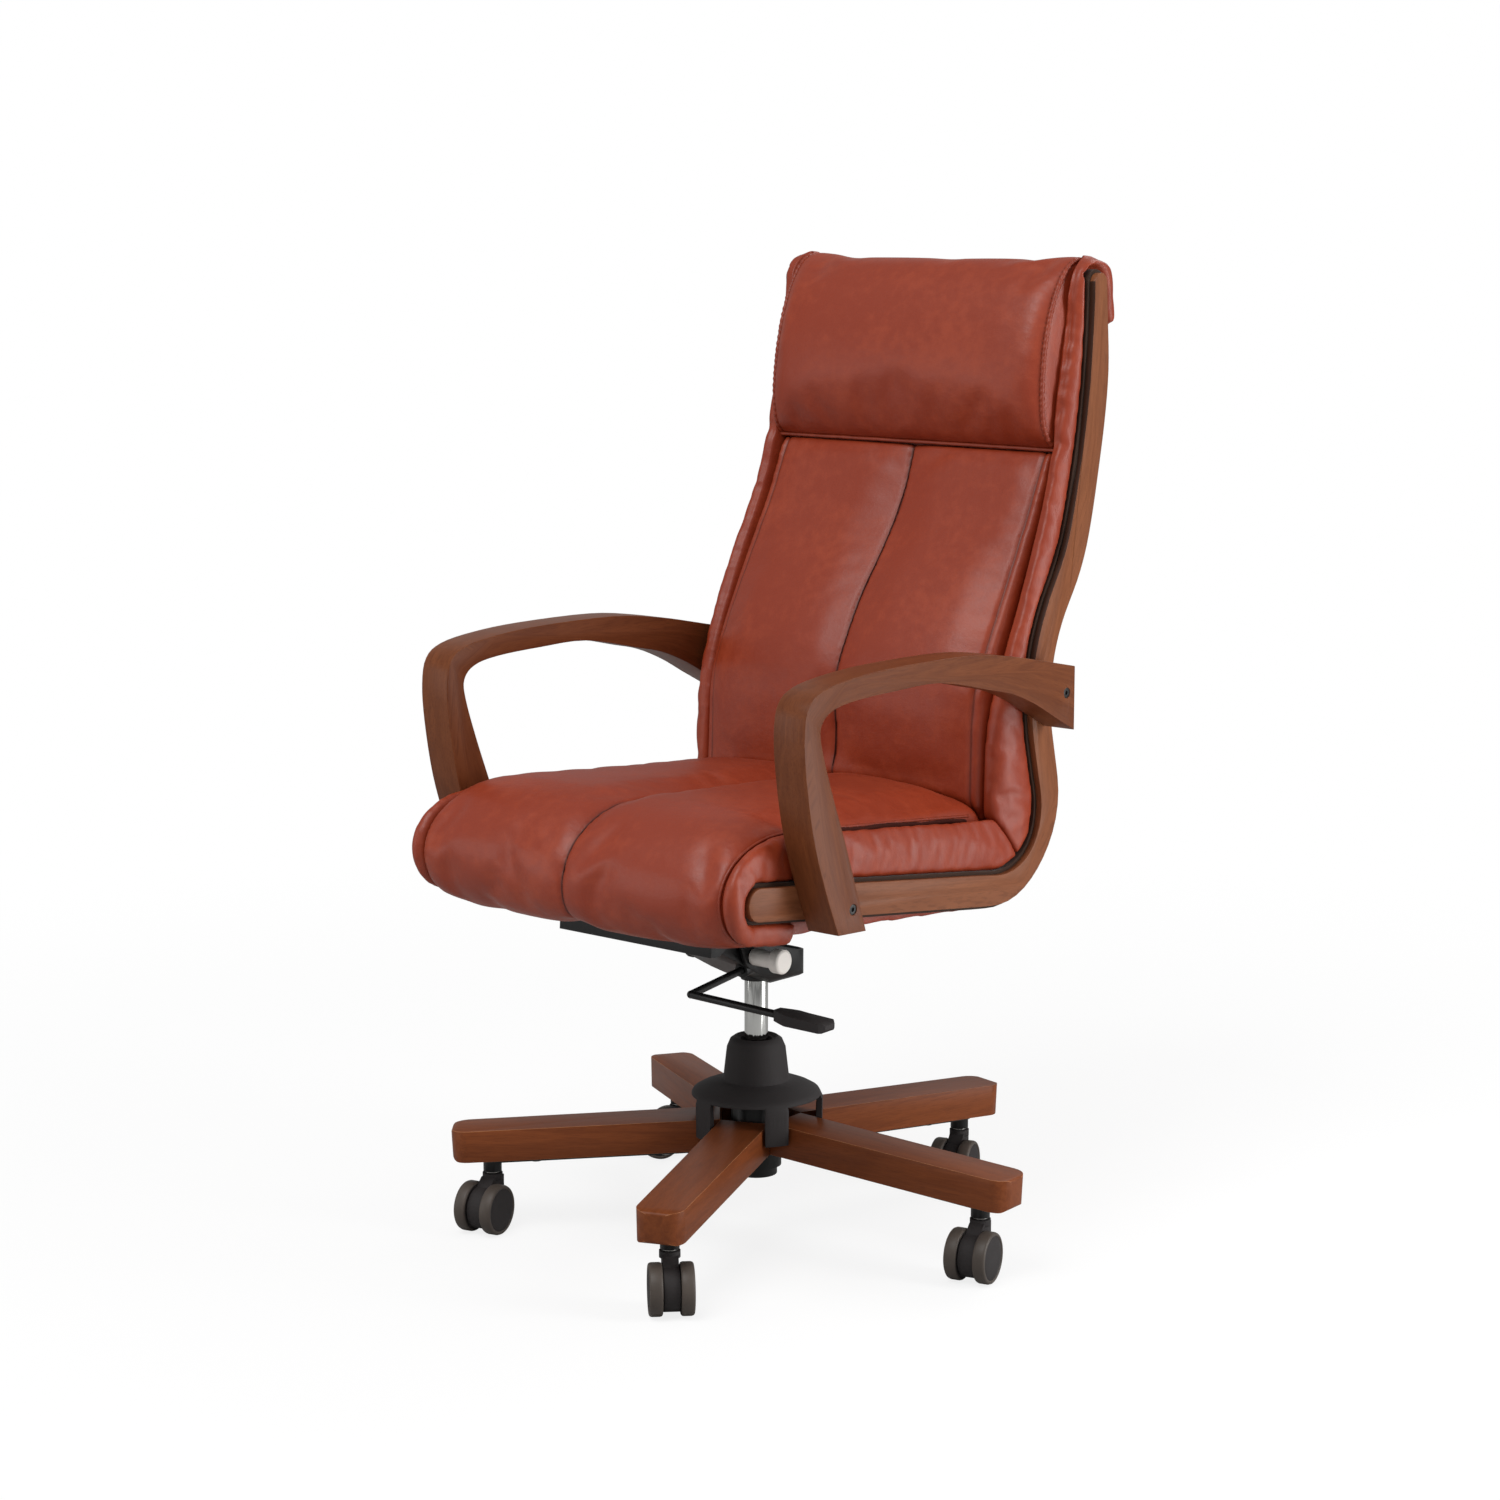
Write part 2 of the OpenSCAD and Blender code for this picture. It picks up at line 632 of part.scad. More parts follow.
module tilt_springs() {
    wire = 1.8;
    color(steel) translate([0, -shaft_front, shaft_z]) for (side = [-1, 1])
        scale([side, 1, 1]) coil_spring(3, 21, shaft_r + 0.6 + wire, wire, 4);
}
module tension_knob() {
    x0 = ear_x + ear_t + 0.4;
    color(pale) translate([x0, -shaft_front, shaft_z]) rotate([0, 90, 0]) difference() {
        union() {
            cylinder(h = knob_sleeve_len, r = knob_sleeve_r, $fn = 48);
            translate([0, 0, knob_sleeve_len - 1]) cylinder(h = knob_cap_t - 2, r = knob_cap_r, $fn = 48);
            translate([0, 0, knob_sleeve_len + knob_cap_t - 3])
                cylinder(h = 2, r1 = knob_cap_r, r2 = knob_cap_r - 2.5, $fn = 48);
        }
        translate([0, 0, -1]) cylinder(h = knob_sleeve_len, r = shaft_r + fit, $fn = 48);
    }
}
paddle_at = [lever_reach, -elbow_front, pan_z + 14];
module gas_lever() {
    finger_z = button_top + 0.3;
    q = lever_point(-4);
    color(black) {
        bar(lever_in, elbow, lever_r);
        translate(elbow) sphere(r = lever_r + 0.2, $fn = 32);
        bar(elbow, paddle_at + [30, 0, -1], lever_r);
        difference() {
            translate([-6, q[1] - 5, finger_z]) cube([q[0] + 8, 10, 4]);
            translate([q[0], q[1] - 6, finger_z + 4]) rotate([0, 55, 0]) cube([10, 12, 10]);
        }
        translate([q[0] - 2.5, q[1] - 5, q[2]]) cube([5, 10, finger_z + 1 - q[2]]);
    }
}
module lever_paddle() {
    t = paddle_t;
    color([0.16, 0.15, 0.15]) difference() {
        translate(paddle_at) rotate([0, 2, 5]) intersection() {
            translate([0, 0, -t]) linear_extrude(2 * t) polygon([
                [0, -lever_r - 2], [12, -paddle_w / 2 + 3], [20, -paddle_w / 2], [paddle_len - 6, -paddle_w / 2],
                [paddle_len, -paddle_w / 2 + 6], [paddle_len, paddle_w / 2 - 6], [paddle_len - 6, paddle_w / 2],
                [20, paddle_w / 2], [12, paddle_w / 2 - 3], [0, lever_r + 2]
            ]);
            translate([0, paddle_w, 0]) rotate([90, 0, 0]) linear_extrude(2 * paddle_w) polygon([
                [0, -lever_r - 2], [20, -t * 0.75], [paddle_len - 3, -t * 0.75], [paddle_len, -t * 0.4],
                [paddle_len, t * 0.1], [paddle_len - 4, t * 0.35], [34, t * 0.45], [0, lever_r + 2]
            ]);
        }
        bar(elbow, paddle_at + [31, 0, -1], lever_r + fit);
    }
}

// Seat bracket: an inverted tray with two ears that hang on the tilt shaft

bolt_inset = 26;
bracket_bolt_r = 4;
module on_bracket() {
    translate([0, bracket_p[0], bracket_p[1] - 0.02]) rotate([bracket_tilt, 0, 0]) children();
}
function bolt_spots() = [for (sx = [-1, 1], y = [bolt_inset, bracket_len - bolt_inset])
    [sx * (bracket_w / 2 - bolt_inset), y]];
module seat_bracket() {
    t = bracket_t;
    ear_w = 44;
    ear_lean = -shaft_front - bracket_p[0];
    color(black) difference() {
        union() {
            on_bracket() {
                translate([-bracket_w / 2, 0, -t]) cube([bracket_w, bracket_len, t]);
                translate([-bracket_w / 2, 0, -bracket_flange]) cube([bracket_w, t, bracket_flange]);
                translate([-bracket_w / 2, bracket_len - t, -10]) cube([bracket_w, t, 10]);
                for (x = [-bracket_w / 2, bracket_w / 2 - t])
                    translate([x, 0, 0]) rotate([90, 0, 90]) linear_extrude(t) polygon([
                        [0, 0], [0, -bracket_flange], [14, -bracket_flange], [60, -10],
                        [bracket_len, -10], [bracket_len, 0]
                    ]);
                for (side = [-1, 1])
                    translate([side * bracket_w / 3.4 - 5, 2, -12 - t]) cube([10, bracket_len - 4, 12.5]);
            }
            for (side = [-1, 1]) slab(side > 0 ? ear_x : -ear_x - ear_t, side > 0 ? ear_x + ear_t : -ear_x) {
                z1 = bracket_p[1] + ear_lean * tan(bracket_tilt) - t / 2;
                polygon(concat(
                    [[-shaft_front - ear_w, z1 + ear_w * sin(-bracket_tilt)]],
                    [for (a = [200:20:340]) [-shaft_front, shaft_z] + 15 * unit(a)],
                    [[-shaft_front + ear_w, z1 - ear_w * sin(-bracket_tilt)]]
                ));
            }
        }
        translate([-pan_w, -shaft_front, shaft_z]) rotate([0, 90, 0])
            cylinder(h = 2 * pan_w, r = shaft_r + fit, $fn = 48);
        on_bracket() for (q = bolt_spots())
            translate([q[0], q[1], -t - 1]) cylinder(h = t + 2, r = bracket_bolt_r + fit, $fn = 36);
    }
}
module bracket_bolts() {
    color(chrome * 0.6) on_bracket() for (q = bolt_spots()) translate([q[0], q[1], 0]) {
        translate([0, 0, -bracket_t - 5]) cylinder(h = 5, r = 6.5, $fn = 6);
        translate([0, 0, -bracket_t]) cylinder(h = bracket_t + 16, r = bracket_bolt_r, $fn = 36);
    }
}

// Upholstered frame: one solid of seat and back, under the pads

module frame_shell() {
    n = 110;
    s = [for (i = [0:n]) mix(frame_front_s, frame_top_s, i / n)];
    color(leather * 0.9) difference() {
        slab(-back_pad_x + pad_gap, back_pad_x - pad_gap) polygon(concat(
            [for (v = s) at(v, frame_up)],
            [for (i = [n:-1:0]) at(s[i], -frame_below(s[i]))]
        ));
        on_bracket() for (q = bolt_spots())
            translate([q[0], q[1], -1]) cylinder(h = 19, r = bracket_bolt_r + fit, $fn = 36);
    }
}

// Outer curve of the seat pad: k = 0 at its edge, 1 on its crown, with the channel sunk by sink
top_steps = 10;
nose_steps = 6;
turn_steps = 5;
seat_line_n = top_steps + nose_steps + turn_steps + 2;
nose_s = 74;
function seat_outer(k, sink) =
    let (
        sf = mix(-nose_reach, -nose_reach - nose_crown, k) + sink,
        nm = mix(5, -5, k),
        nt = seat_edge_h + k * seat_crown - sink,
        st = nose_s + 4 * k,
        nr = seat_edge_h + 8 + k * (seat_crown + 14) - sink,
        sr = mix(seat_run + 5, seat_run - 15, k),
        sb = mix(15, -22, k),
        nb = -nose_drop + sink / 2
    )
    concat(
        [for (i = [0:top_steps - 1]) let (u = i / top_steps) seat_at(mix(sr, st, u), mix(nr, nt, u))],
        [for (i = [0:nose_steps - 1]) let (a = 90 * i / nose_steps)
            seat_at(st - (st - sf) * sin(a), nm + (nt - nm) * cos(a))],
        [for (i = [0:turn_steps - 1]) let (a = 90 * i / turn_steps)
            seat_at(sb - (sb - sf) * cos(a), nm - (nm - nb) * sin(a))],
        [seat_at(sb, nb), seat_at(frame_front_s - pad_gap, -nose_drop)]
    );
// Inner curve of the seat pad: over the frame, then down in front of it
function seat_inner() =
    let (down = 7, over = seat_line_n - down, s1 = frame_front_s - pad_gap, n1 = frame_up + bed_gap)
    concat(
        [for (i = [0:over - 1]) at(mix(mitre_s, s1, i / (over - 1)), n1)],
        [for (i = [1:down]) at(s1, mix(n1, -nose_drop + 1, i / down))]
    );
function seat_half(y) =
    let (u = min(1, max(0, (y + seat_front) / seat_run)))
    mix(seat_pad_x, back_pad_x, u * u * (3 - 2 * u));
function ring(outer, inner) = concat(outer, [for (i = [len(inner) - 1:-1:0]) inner[i]]);
// Stations across a pad: [share of the half width, crown, sink of the centre channel]
half_spots = [[1, 0, 0], [0.985, 0.2, 0], [0.95, 0.42, 0], [0.88, 0.62, 0], [0.76, 0.8, 0],
              [0.58, 0.93, 0], [0.36, 1, 0], [0.14, 1, 0], [0.04, 0.98, 0.3]];
pad_spots = concat(
    [for (v = half_spots) [-v[0], v[1], v[2]]],
    [[0, 0.98, 1]],
    [for (i = [len(half_spots) - 1:-1:0]) half_spots[i]]
);
module seat_cushion() {
    color(leather) loft([for (v = pad_spots)
        [for (p = ring(seat_outer(v[1], v[2] * channel), seat_inner()))
            [v[0] * (seat_half(p[0]) - pad_gap / 2), p[0], p[1]]]], true);
}

// Back pad: knots of its front face at the edge and on the crown, as [distance above the bend, height]
seam_s = bend_end + 400;
head_gap = 0.6;
pad_end_gap = 0.5;
back_edge = [[30, 82], [103, 58], [205, 34], [330, 36], [387, 29], [400 - head_gap, 22]];
// Extra height of the side panels' outline at the same knots, so that their roll runs on past the seam
back_lift = [0, 0, 0, 0, 5, 10];
head_lift = [12, 1, 0, 0, 0, 0, 0, 0, 0, 0, 0, 0];
function back_front(k, sink, lift = 0) =
    let (
        edge = back_edge,
        crown = [[45, 90], [115, 82], [185, 54], [285, 38], [350, 29], [400 - head_gap, 24]],
        foot = mix(seat_at(seat_run + 5, seat_edge_h + 8), seat_at(seat_run - 15, seat_edge_h + seat_crown + 22), k)
    )
    smooth(concat(
        [foot + [pad_end_gap, pad_end_gap]],
        [for (i = [0:5]) let (q = mix(edge[i], crown[i], k))
            at(bend_end + q[0], q[1] - sink + lift * back_lift[i])]
    ), 3);
function back_rear() =
    let (n = 18, s0 = mitre_s + 2 * pad_end_gap)
    [for (i = [0:n]) at(mix(s0, seam_s - head_gap, i / n), frame_up + bed_gap)];
module back_cushion() {
    color(leather) loft([for (v = pad_spots)
        [for (p = ring(back_front(v[1], v[2] * channel), back_rear()))
            [v[0] * (back_pad_x - pad_gap / 2), p[0], p[1]]]]);
}

// Headrest: bulges over the seam, rolls over the frame's top and ends behind it
head_steps = 2;
head_knots = 12;
function head_edge(k = 0) =
    let (h = head_edge_h + k * head_crown, t = line_len - seam_s)
    [[0, 20], [10, 0.68 * h], [34, 0.9 * h], [74, h], [115, 0.98 * h], [t - 48, 0.86 * h], [t - 12, 0.62 * h],
     [t + 16, 0.26 * h], [t + 30, -8], [t + 27, -24 - top_set / 2], [t + 9, -33 - top_set],
     [t - 46 + pad_gap, -33.5 - top_set]];
function head_outer(k, lift = 0) =
    let (q = head_edge(k))
    smooth([for (i = [0:head_knots - 1]) at(seam_s + q[i][0], q[i][1] + lift * head_lift[i])], head_steps);
// Share of the draw at the headrest's ends, by the number of the point along its outer curve
function head_share(i) = let (n = head_steps * (head_knots - 1)) i < 0 ? 0 : pow(sin(180 * i / n), 0.8);
function head_inner() =
    let (n = head_steps * (head_knots - 1), down = 6, over = n - down,
         s1 = frame_top_s + pad_gap, n1 = frame_up + bed_gap)
    concat(
        [for (i = [0:over]) at(mix(seam_s, s1, i / over), n1)],
        [for (i = [1:down]) at(s1, mix(n1, -31 - top_set, i / down))]
    );
head_spots = [[1, 0], [0.985, 0.25], [0.95, 0.5], [0.86, 0.8], [0.7, 1], [0.4, 1], [0, 1]];
module headrest() {
    spots = concat(
        [for (v = head_spots) [-v[0], v[1]]],
        [for (i = [len(head_spots) - 2:-1:0]) head_spots[i]]
    );
    n = head_steps * (head_knots - 1);
    draw = ring([for (i = [0:n]) head_share(i)], [for (i = [0:n]) 0]);
    color(leather) loft([for (v = spots)
        let (p = ring(head_outer(v[1]), head_inner()))
        [for (j = [0:len(p) - 1])
            [v[0] * (back_pad_x - pad_gap / 2 - (head_draw + 1) * draw[j]), p[j][0], p[j][1]]]]);
}

// Padded side panels: full height beside the pads, and bulging round the lining outside it
bulge = [[0.35, 0.04], [0.7, 0.16], [1, 0.5]];
function lining_half(s) = strip_half(s) + lining_edge + bed_gap;
function lining_n(s) = lining_half(s) - set_back(s);
function round_front(a) = let (r = lining_n(0)) at(-r * sin(a), r * cos(a));
function round_top(a) = let (r = lining_half(line_len) + 0.5) [line_len + r * sin(a), r * cos(a) - top_set];

function seat_panel_under() =
    let (s0 = mitre_s, s1 = frame_front_s)
    [for (i = [0:seat_line_n - 1])
        let (u = i / (seat_line_n - 1), s = mix(s0, s1, min(1, 1.25 * u)), drop = u < 0.8 ? 0 : (u - 0.8) * 20)
        at(s, -frame_below(s) - drop)];
function seat_panel_hook() = concat(
    [for (i = [0:top_steps - 1]) let (s = mix(mitre_s, nose_s, i / top_steps)) at(s, lining_n(s))],
    [for (i = [0:2]) at(nose_s * (1 - i / 3), lining_n(0))],
    [for (i = [0:nose_steps - 4]) round_front(90 * i / (nose_steps - 3))],
    [for (i = [0:turn_steps - 1]) round_front(90 + 90 * i / turn_steps)],
    [at(0, -lining_n(0)), at(frame_front_s - pad_gap, -lining_n(frame_front_s))]
);
function back_outer(lift) = concat(back_front(0, 0, lift), head_outer(0, lift));
back_line_n = 19 + 23;
function back_panel_rear() = concat(
    [for (i = [0:18]) let (s = mix(mitre_s + 2 * pad_end_gap, seam_s - head_gap, i / 18)) at(s, -frame_below(s))],
    [for (i = [0:22]) let (s = mix(seam_s, frame_top_s, i / 22)) at(s, -frame_below(s))]
);
function back_panel_hook() =
    let (
        low = smooth(concat([mitre_s + 2 * pad_end_gap], [for (q = back_edge) bend_end + q[0]]), 3),
        up = [for (i = [0:5]) let (s = seam_s + head_edge()[i][0]) [s, lining_n(s)]],
        turn = concat([for (a = [12, 50, 85, 115, 150]) round_top(a)], [[frame_top_s, -lining_half(line_len) - top_set - 3]])
    )
    concat(
        [for (s = low) at(s, lining_n(s))],
        [for (q = smooth(concat(up, turn), head_steps)) at(q[0], q[1])]
    );
// Shape of one panel, from the pad outwards: [share of the way to the lining, how far the outline has closed in]
panel_body = [[0, 0], [0.1, 0.06], [0.5, 0.45], [1, 0.75]];
function nose_share(i) = let (m = top_steps + nose_steps) max(0, 1 - pow((i - m) / (nose_steps - 1), 2));
function close_in(outer, hook, part) = [for (i = [0:len(outer) - 1]) mix(outer[i], hook[i], part[i])];
module seat_side(side) {
    outer = seat_outer(0, 0);
    beside = seat_inner();
    under = seat_panel_under();
    hook = seat_panel_hook();
    idx = [for (i = [0:seat_line_n - 1]) i];
    body = [for (v = panel_body)
        let (
            p = ring(outer, v[0] == 0 ? beside : under),
            go = ring([for (i = idx) v[0]], [for (i = idx) v[0] == 0.1 ? 0 : v[0]])
        )
        [for (j = [0:len(p) - 1])
            [mix(seat_half(p[j][0]) + pad_gap / 2, panel_x - 0.8, go[j]), p[j][0], p[j][1]]]];
    rim = [for (v = concat([[-0.03, 0]], bulge))
        let (q = close_in(outer, hook, [for (i = idx) v[1] - nose_share(i) * 0.25 * min(1, 3 * v[0])]),
             x = [for (i = idx) panel_x + v[0] * (lining_t + 1.5 + nose_share(i) * nose_swell)],
             p = ring(q, hook), xs = ring(x, x))
        [for (j = [0:len(p) - 1]) [xs[j], p[j][0], p[j][1]]]];
    color(leather) mirror([side < 0 ? 1 : 0, 0, 0]) loft(concat(body, rim), true);
}
module back_side(side) {
    outer = back_outer(0);
    lifted = back_outer(1);
    beside = concat(back_rear(), head_inner());
    rear = back_panel_rear();
    hook = back_panel_hook();
    idx = [for (i = [0:back_line_n - 1]) i];
    share = [for (i = idx) head_share(i - 19)];
    body = [for (v = panel_body)
        let (
            p = ring(close_in(v[0] == 0 ? outer : lifted, hook, share * v[1]), v[0] == 0 ? beside : rear),
            x0 = ring([for (i = idx) back_pad_x + pad_gap / 2 - head_draw * share[i]],
                      [for (i = idx) back_pad_x + pad_gap / 2]),
            go = ring([for (i = idx) v[0]], [for (i = idx) v[0] == 0.1 ? 0 : v[0]])
        )
        [for (j = [0:len(p) - 1]) [mix(x0[j], panel_x - 0.8, go[j]), p[j][0], p[j][1]]]];
    rim = [for (v = concat([[-0.03, 0]], bulge))
        let (q = close_in(lifted, hook, [for (i = idx) 1 - (1 - v[1]) * (1 - 0.78 * share[i])]))
        [for (p = ring(q, hook)) [panel_x + v[0] * (lining_t + 1.5), p[0], p[1]]]];
    color(leather) mirror([side < 0 ? 1 : 0, 0, 0]) loft(concat(body, rim));
}

// Linings, strips and arms

front_bolt = at(105, -3);
rear_bolt = at(bend_end + 114, 9);
module arm_holes(r) {
    for (p = [front_bolt, rear_bolt])
        translate([panel_x - 1, p[0], p[1]]) rotate([0, 90, 0]) cylinder(h = 200, r = r, $fn = 36);
}
module lining(side) {
    color([0.16, 0.13, 0.12]) mirror([side < 0 ? 1 : 0, 0, 0]) difference() {
        slab(panel_x, lining_x) polygon(band(lining_edge));
        arm_holes(arm_bolt_r + fit);
    }
}
module side_strip(side) {
    color(wood) mirror([side < 0 ? 1 : 0, 0, 0]) difference() {
        slab(lining_x, strip_x) polygon(band(0));
        arm_holes(arm_bolt_r + fit);
    }
}
// Outline of an arm: points of its front post from the front bolt, of its rail from the rear bolt
function from_front(v) = [for (q = v) front_bolt + q];
function from_rear(v) = [for (q = v) rear_bolt + q];
arm_outside = concat(
    from_front([[-25, -25], [-48, 30], [-68, 90], [-80, 155], [-83, 200], [-76, 230], [-52, 245], [0, 253], [76, 257]]),
    from_rear([[-190, 63], [-110, 54], [-40, 41], [15, 30]])
);
arm_inside = concat(
    from_rear([[15, -45], [-21, -27], [-60, -7], [-104, 10], [-149, 20]]),
    from_front([[150, 231], [70, 231], [0, 228], [-38, 221], [-55, 206], [-53, 182], [-36, 132], [-10, 65], [22, -27]])
);
module arm(side) {
    color(wood) mirror([side < 0 ? 1 : 0, 0, 0]) difference() {
        slab(arm_x, arm_x + arm_t) polygon(concat(smooth(arm_outside, 4), smooth(arm_inside, 4)));
        arm_holes(arm_bolt_r + fit);
        for (p = [front_bolt, rear_bolt])
            translate([arm_x + arm_t - 5, p[0], p[1]]) rotate([0, 90, 0])
                cylinder(h = 6, r = arm_cap_r + fit, $fn = 36);
    }
}
module arm_bolts() {
    color(black) for (side = [0, 1]) mirror([side, 0, 0]) for (p = [front_bolt, rear_bolt])
        translate([0, p[0], p[1]]) rotate([0, 90, 0]) {
            translate([0, 0, panel_x + 0.4])
                cylinder(h = arm_x + arm_t - 5 - panel_x, r = arm_bolt_r, $fn = 36);
            translate([0, 0, arm_x + arm_t - 5]) difference() {
                cylinder(h = 4.2, r = arm_cap_r, $fn = 36);
                translate([0, 0, 2]) cylinder(h = 3, r = 2.5, $fn = 6);
            }
        }
}

// Casters

stem_len = 16;
axle_z = wheel_d / 2;
neck_foot = axle_z + 10;
wheel_in = web_w / 2 + wheel_gap;
wheel_out = wheel_in + wheel_w;
axle_half = wheel_out - 3;
module on_caster(k) {
    on_leg(k) translate([caster_r, 0, 0])
        rotate([0, 0, caster_trails[k - 1] - base_turn - leg_step * (k - 1)]) children();
}
module caster_stems() {
    color(chrome) for (k = [1:leg_count]) on_caster(k) {
        translate([0, 0, socket_face]) cylinder(h = stem_len - 0.5, r = stem_r, $fn = 36);
        translate([0, 0, socket_face - 2]) cylinder(h = 2, r = stem_r + 3.5, $fn = 36);
        translate([0, 0, neck_foot + 2]) cylinder(h = socket_face - neck_foot - 2, r = stem_r, $fn = 36);
    }
}
module caster_body(k) {
    neck_top = socket_face - 2 - neck_gap;
    neck_clear = wheel_d + 0.8;
    disc_r = wheel_d / 2 - 5;
    color(black) on_caster(k) difference() {
        union() {
            translate([0, 0, neck_clear]) cylinder(h = neck_top - neck_clear, r = neck_r, $fn = round_fn);
            translate([0, web_w / 2, 0]) rotate([90, 0, 0]) linear_extrude(web_w) {
                translate([trail, axle_z]) circle(r = disc_r, $fn = round_fn);
                polygon([[-neck_r + 1, neck_foot], [-neck_r + 1, neck_top - 4], [neck_r - 1, neck_top - 4],
                         [trail + 3, axle_z + disc_r - 1], [trail, axle_z - 4]]);
            }
        }
        translate([0, 0, neck_foot + 1]) cylinder(h = neck_top, r = stem_r + fit, $fn = 36);
        translate([trail, web_w, axle_z]) rotate([90, 0, 0]) cylinder(h = 2 * web_w, r = axle_r + fit, $fn = 36);
    }
}
module caster_axle(k) {
    color(chrome) on_caster(k) translate([trail, axle_half, axle_z]) rotate([90, 0, 0])
        cylinder(h = 2 * axle_half, r = axle_r, $fn = 36);
}
// A wheel: rounded tread, dished outer face and a stepped hub
module caster_wheel(k, side) {
    r = wheel_d / 2;
    w = wheel_w;
    color(grey) on_caster(k) translate([trail, 0, axle_z]) rotate([side > 0 ? -90 : 90, 0, 0])
        translate([0, 0, wheel_in]) rotate_extrude($fn = 72) polygon([
            [axle_r + fit, 0], [8, 0], [8, 2], [r - 7, 2], [r - 5, 0], [r - 2, 0], [r - 0.6, 1], [r, 3],
            [r, w - 4], [r - 0.8, w - 1.6], [r - 2.4, w - 0.6], [r - 4, w - 0.8], [r - 4.6, w - 2],
            [r - 8, w - 0.8], [r / 2, w - 0.2], [0, w], [0, w - 2], [axle_r + fit, w - 2]
        ]);
}

base_frame();
for (k = [1:leg_count])
    base_leg(k);
leg_screws();
hub_cover();
column_tube();
column_guide();
column_clip();
caster_stems();
piston_rod();
thrust_bearing();
gas_cylinder();
valve_button();
tilt_housing();
tilt_shaft();
tilt_springs();
tension_knob();
gas_lever();
lever_paddle();
seat_bracket();
bracket_bolts();
frame_shell();
seat_cushion();
back_cushion();
headrest();
seat_side(1);  // seat_side_left
seat_side(-1);  // seat_side_right
back_side(1);  // back_side_left
back_side(-1);  // back_side_right
lining(1);  // lining_left
lining(-1);  // lining_right
side_strip(1);  // side_strip_left
side_strip(-1);  // side_strip_right
arm(1);  // arm_left
arm(-1);  // arm_right
arm_bolts();
for (k = [1:leg_count]) {
    caster_body(k);
    caster_axle(k);
    caster_wheel(k, 1);
    caster_wheel(k, -1);
}
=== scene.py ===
"""Looks of an executive office chair: leather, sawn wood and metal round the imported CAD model."""

from __future__ import annotations

import json
import logging
import math
from dataclasses import dataclass, field
from enum import Enum
from typing import Any, Callable, Sequence, Union

import bmesh
import bpy
import numpy as np
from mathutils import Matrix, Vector
from mathutils.bvhtree import BVHTree

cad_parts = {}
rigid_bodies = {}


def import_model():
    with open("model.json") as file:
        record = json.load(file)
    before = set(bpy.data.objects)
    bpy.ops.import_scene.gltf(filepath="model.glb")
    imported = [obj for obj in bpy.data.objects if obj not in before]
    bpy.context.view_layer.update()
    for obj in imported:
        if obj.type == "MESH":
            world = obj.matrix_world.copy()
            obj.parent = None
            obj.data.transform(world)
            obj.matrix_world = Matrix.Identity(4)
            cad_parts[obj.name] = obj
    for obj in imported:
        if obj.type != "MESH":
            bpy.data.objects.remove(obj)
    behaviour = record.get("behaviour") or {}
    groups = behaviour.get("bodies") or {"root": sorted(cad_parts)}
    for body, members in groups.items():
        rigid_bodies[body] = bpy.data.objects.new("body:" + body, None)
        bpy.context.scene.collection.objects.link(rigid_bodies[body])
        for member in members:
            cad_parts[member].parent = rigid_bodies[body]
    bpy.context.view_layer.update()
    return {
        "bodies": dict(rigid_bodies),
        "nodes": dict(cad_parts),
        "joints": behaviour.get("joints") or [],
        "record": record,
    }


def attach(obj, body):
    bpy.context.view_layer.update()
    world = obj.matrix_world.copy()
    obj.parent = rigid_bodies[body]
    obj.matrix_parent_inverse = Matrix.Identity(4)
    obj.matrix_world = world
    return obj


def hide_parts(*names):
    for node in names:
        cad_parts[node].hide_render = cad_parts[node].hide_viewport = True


log = logging.getLogger("chair")
Array = np.ndarray
Mesh, Object = bpy.types.Mesh, bpy.types.Object
MM = 0.001
Colour = tuple[float, float, float]
Operand = Union["Signal", float]


def srgb(red: int, green: int, blue: int) -> Colour:
    """Turns display values into the linear colour that a shader works in.

    Args:
        red: red, 0 to 255.
        green: green, 0 to 255.
        blue: blue, 0 to 255.

    Returns:
        The linear colour.
    """
    linear = [v / 255 / 12.92 if v < 11 else ((v / 255 + 0.055) / 1.055) ** 2.4 for v in (red, green, blue)]
    return (linear[0], linear[1], linear[2])


def maths(operation: str, turned: bool = False) -> Callable[..., "Signal"]:
    """Makes a method of Signal that adds a Math node.

    Args:
        operation: what the node does.
        turned: whether the signal comes second.

    Returns:
        The method.
    """
    def method(self: "Signal", other: Operand = 0.0) -> "Signal":
        """Adds the node on this signal and another operand."""
        pair = (other, self) if turned else (self, other)
        return self.tree.node("ShaderNodeMath", {"operation": operation}, dict(enumerate(pair)))

    return method


class Signal:
    """A socket of a node tree that takes part in Python expressions on values."""

    __add__, __radd__ = maths("ADD"), maths("ADD", True)
    __sub__, __rsub__ = maths("SUBTRACT"), maths("SUBTRACT", True)
    __mul__, __rmul__ = maths("MULTIPLY"), maths("MULTIPLY", True)
    __abs__ = maths("ABSOLUTE")
    sine = maths("SINE")

    def __init__(self, tree: "Tree", socket: bpy.types.NodeSocket) -> None:
        """Keeps the socket and the tree that it belongs to."""
        self.tree = tree
        self.socket = socket

    def beside(self, output: str) -> "Signal":
        """Another output of the same node."""
        return Signal(self.tree, self.socket.node.outputs[output])

    def rise(self, low: float, high: float) -> "Signal":
        """A smooth step from 0, where this value is low, to 1, where it is high."""
        settings = {"interpolation_type": "SMOOTHSTEP"}
        return self.tree.node("ShaderNodeMapRange", settings, {0: self, 1: low, 2: high})


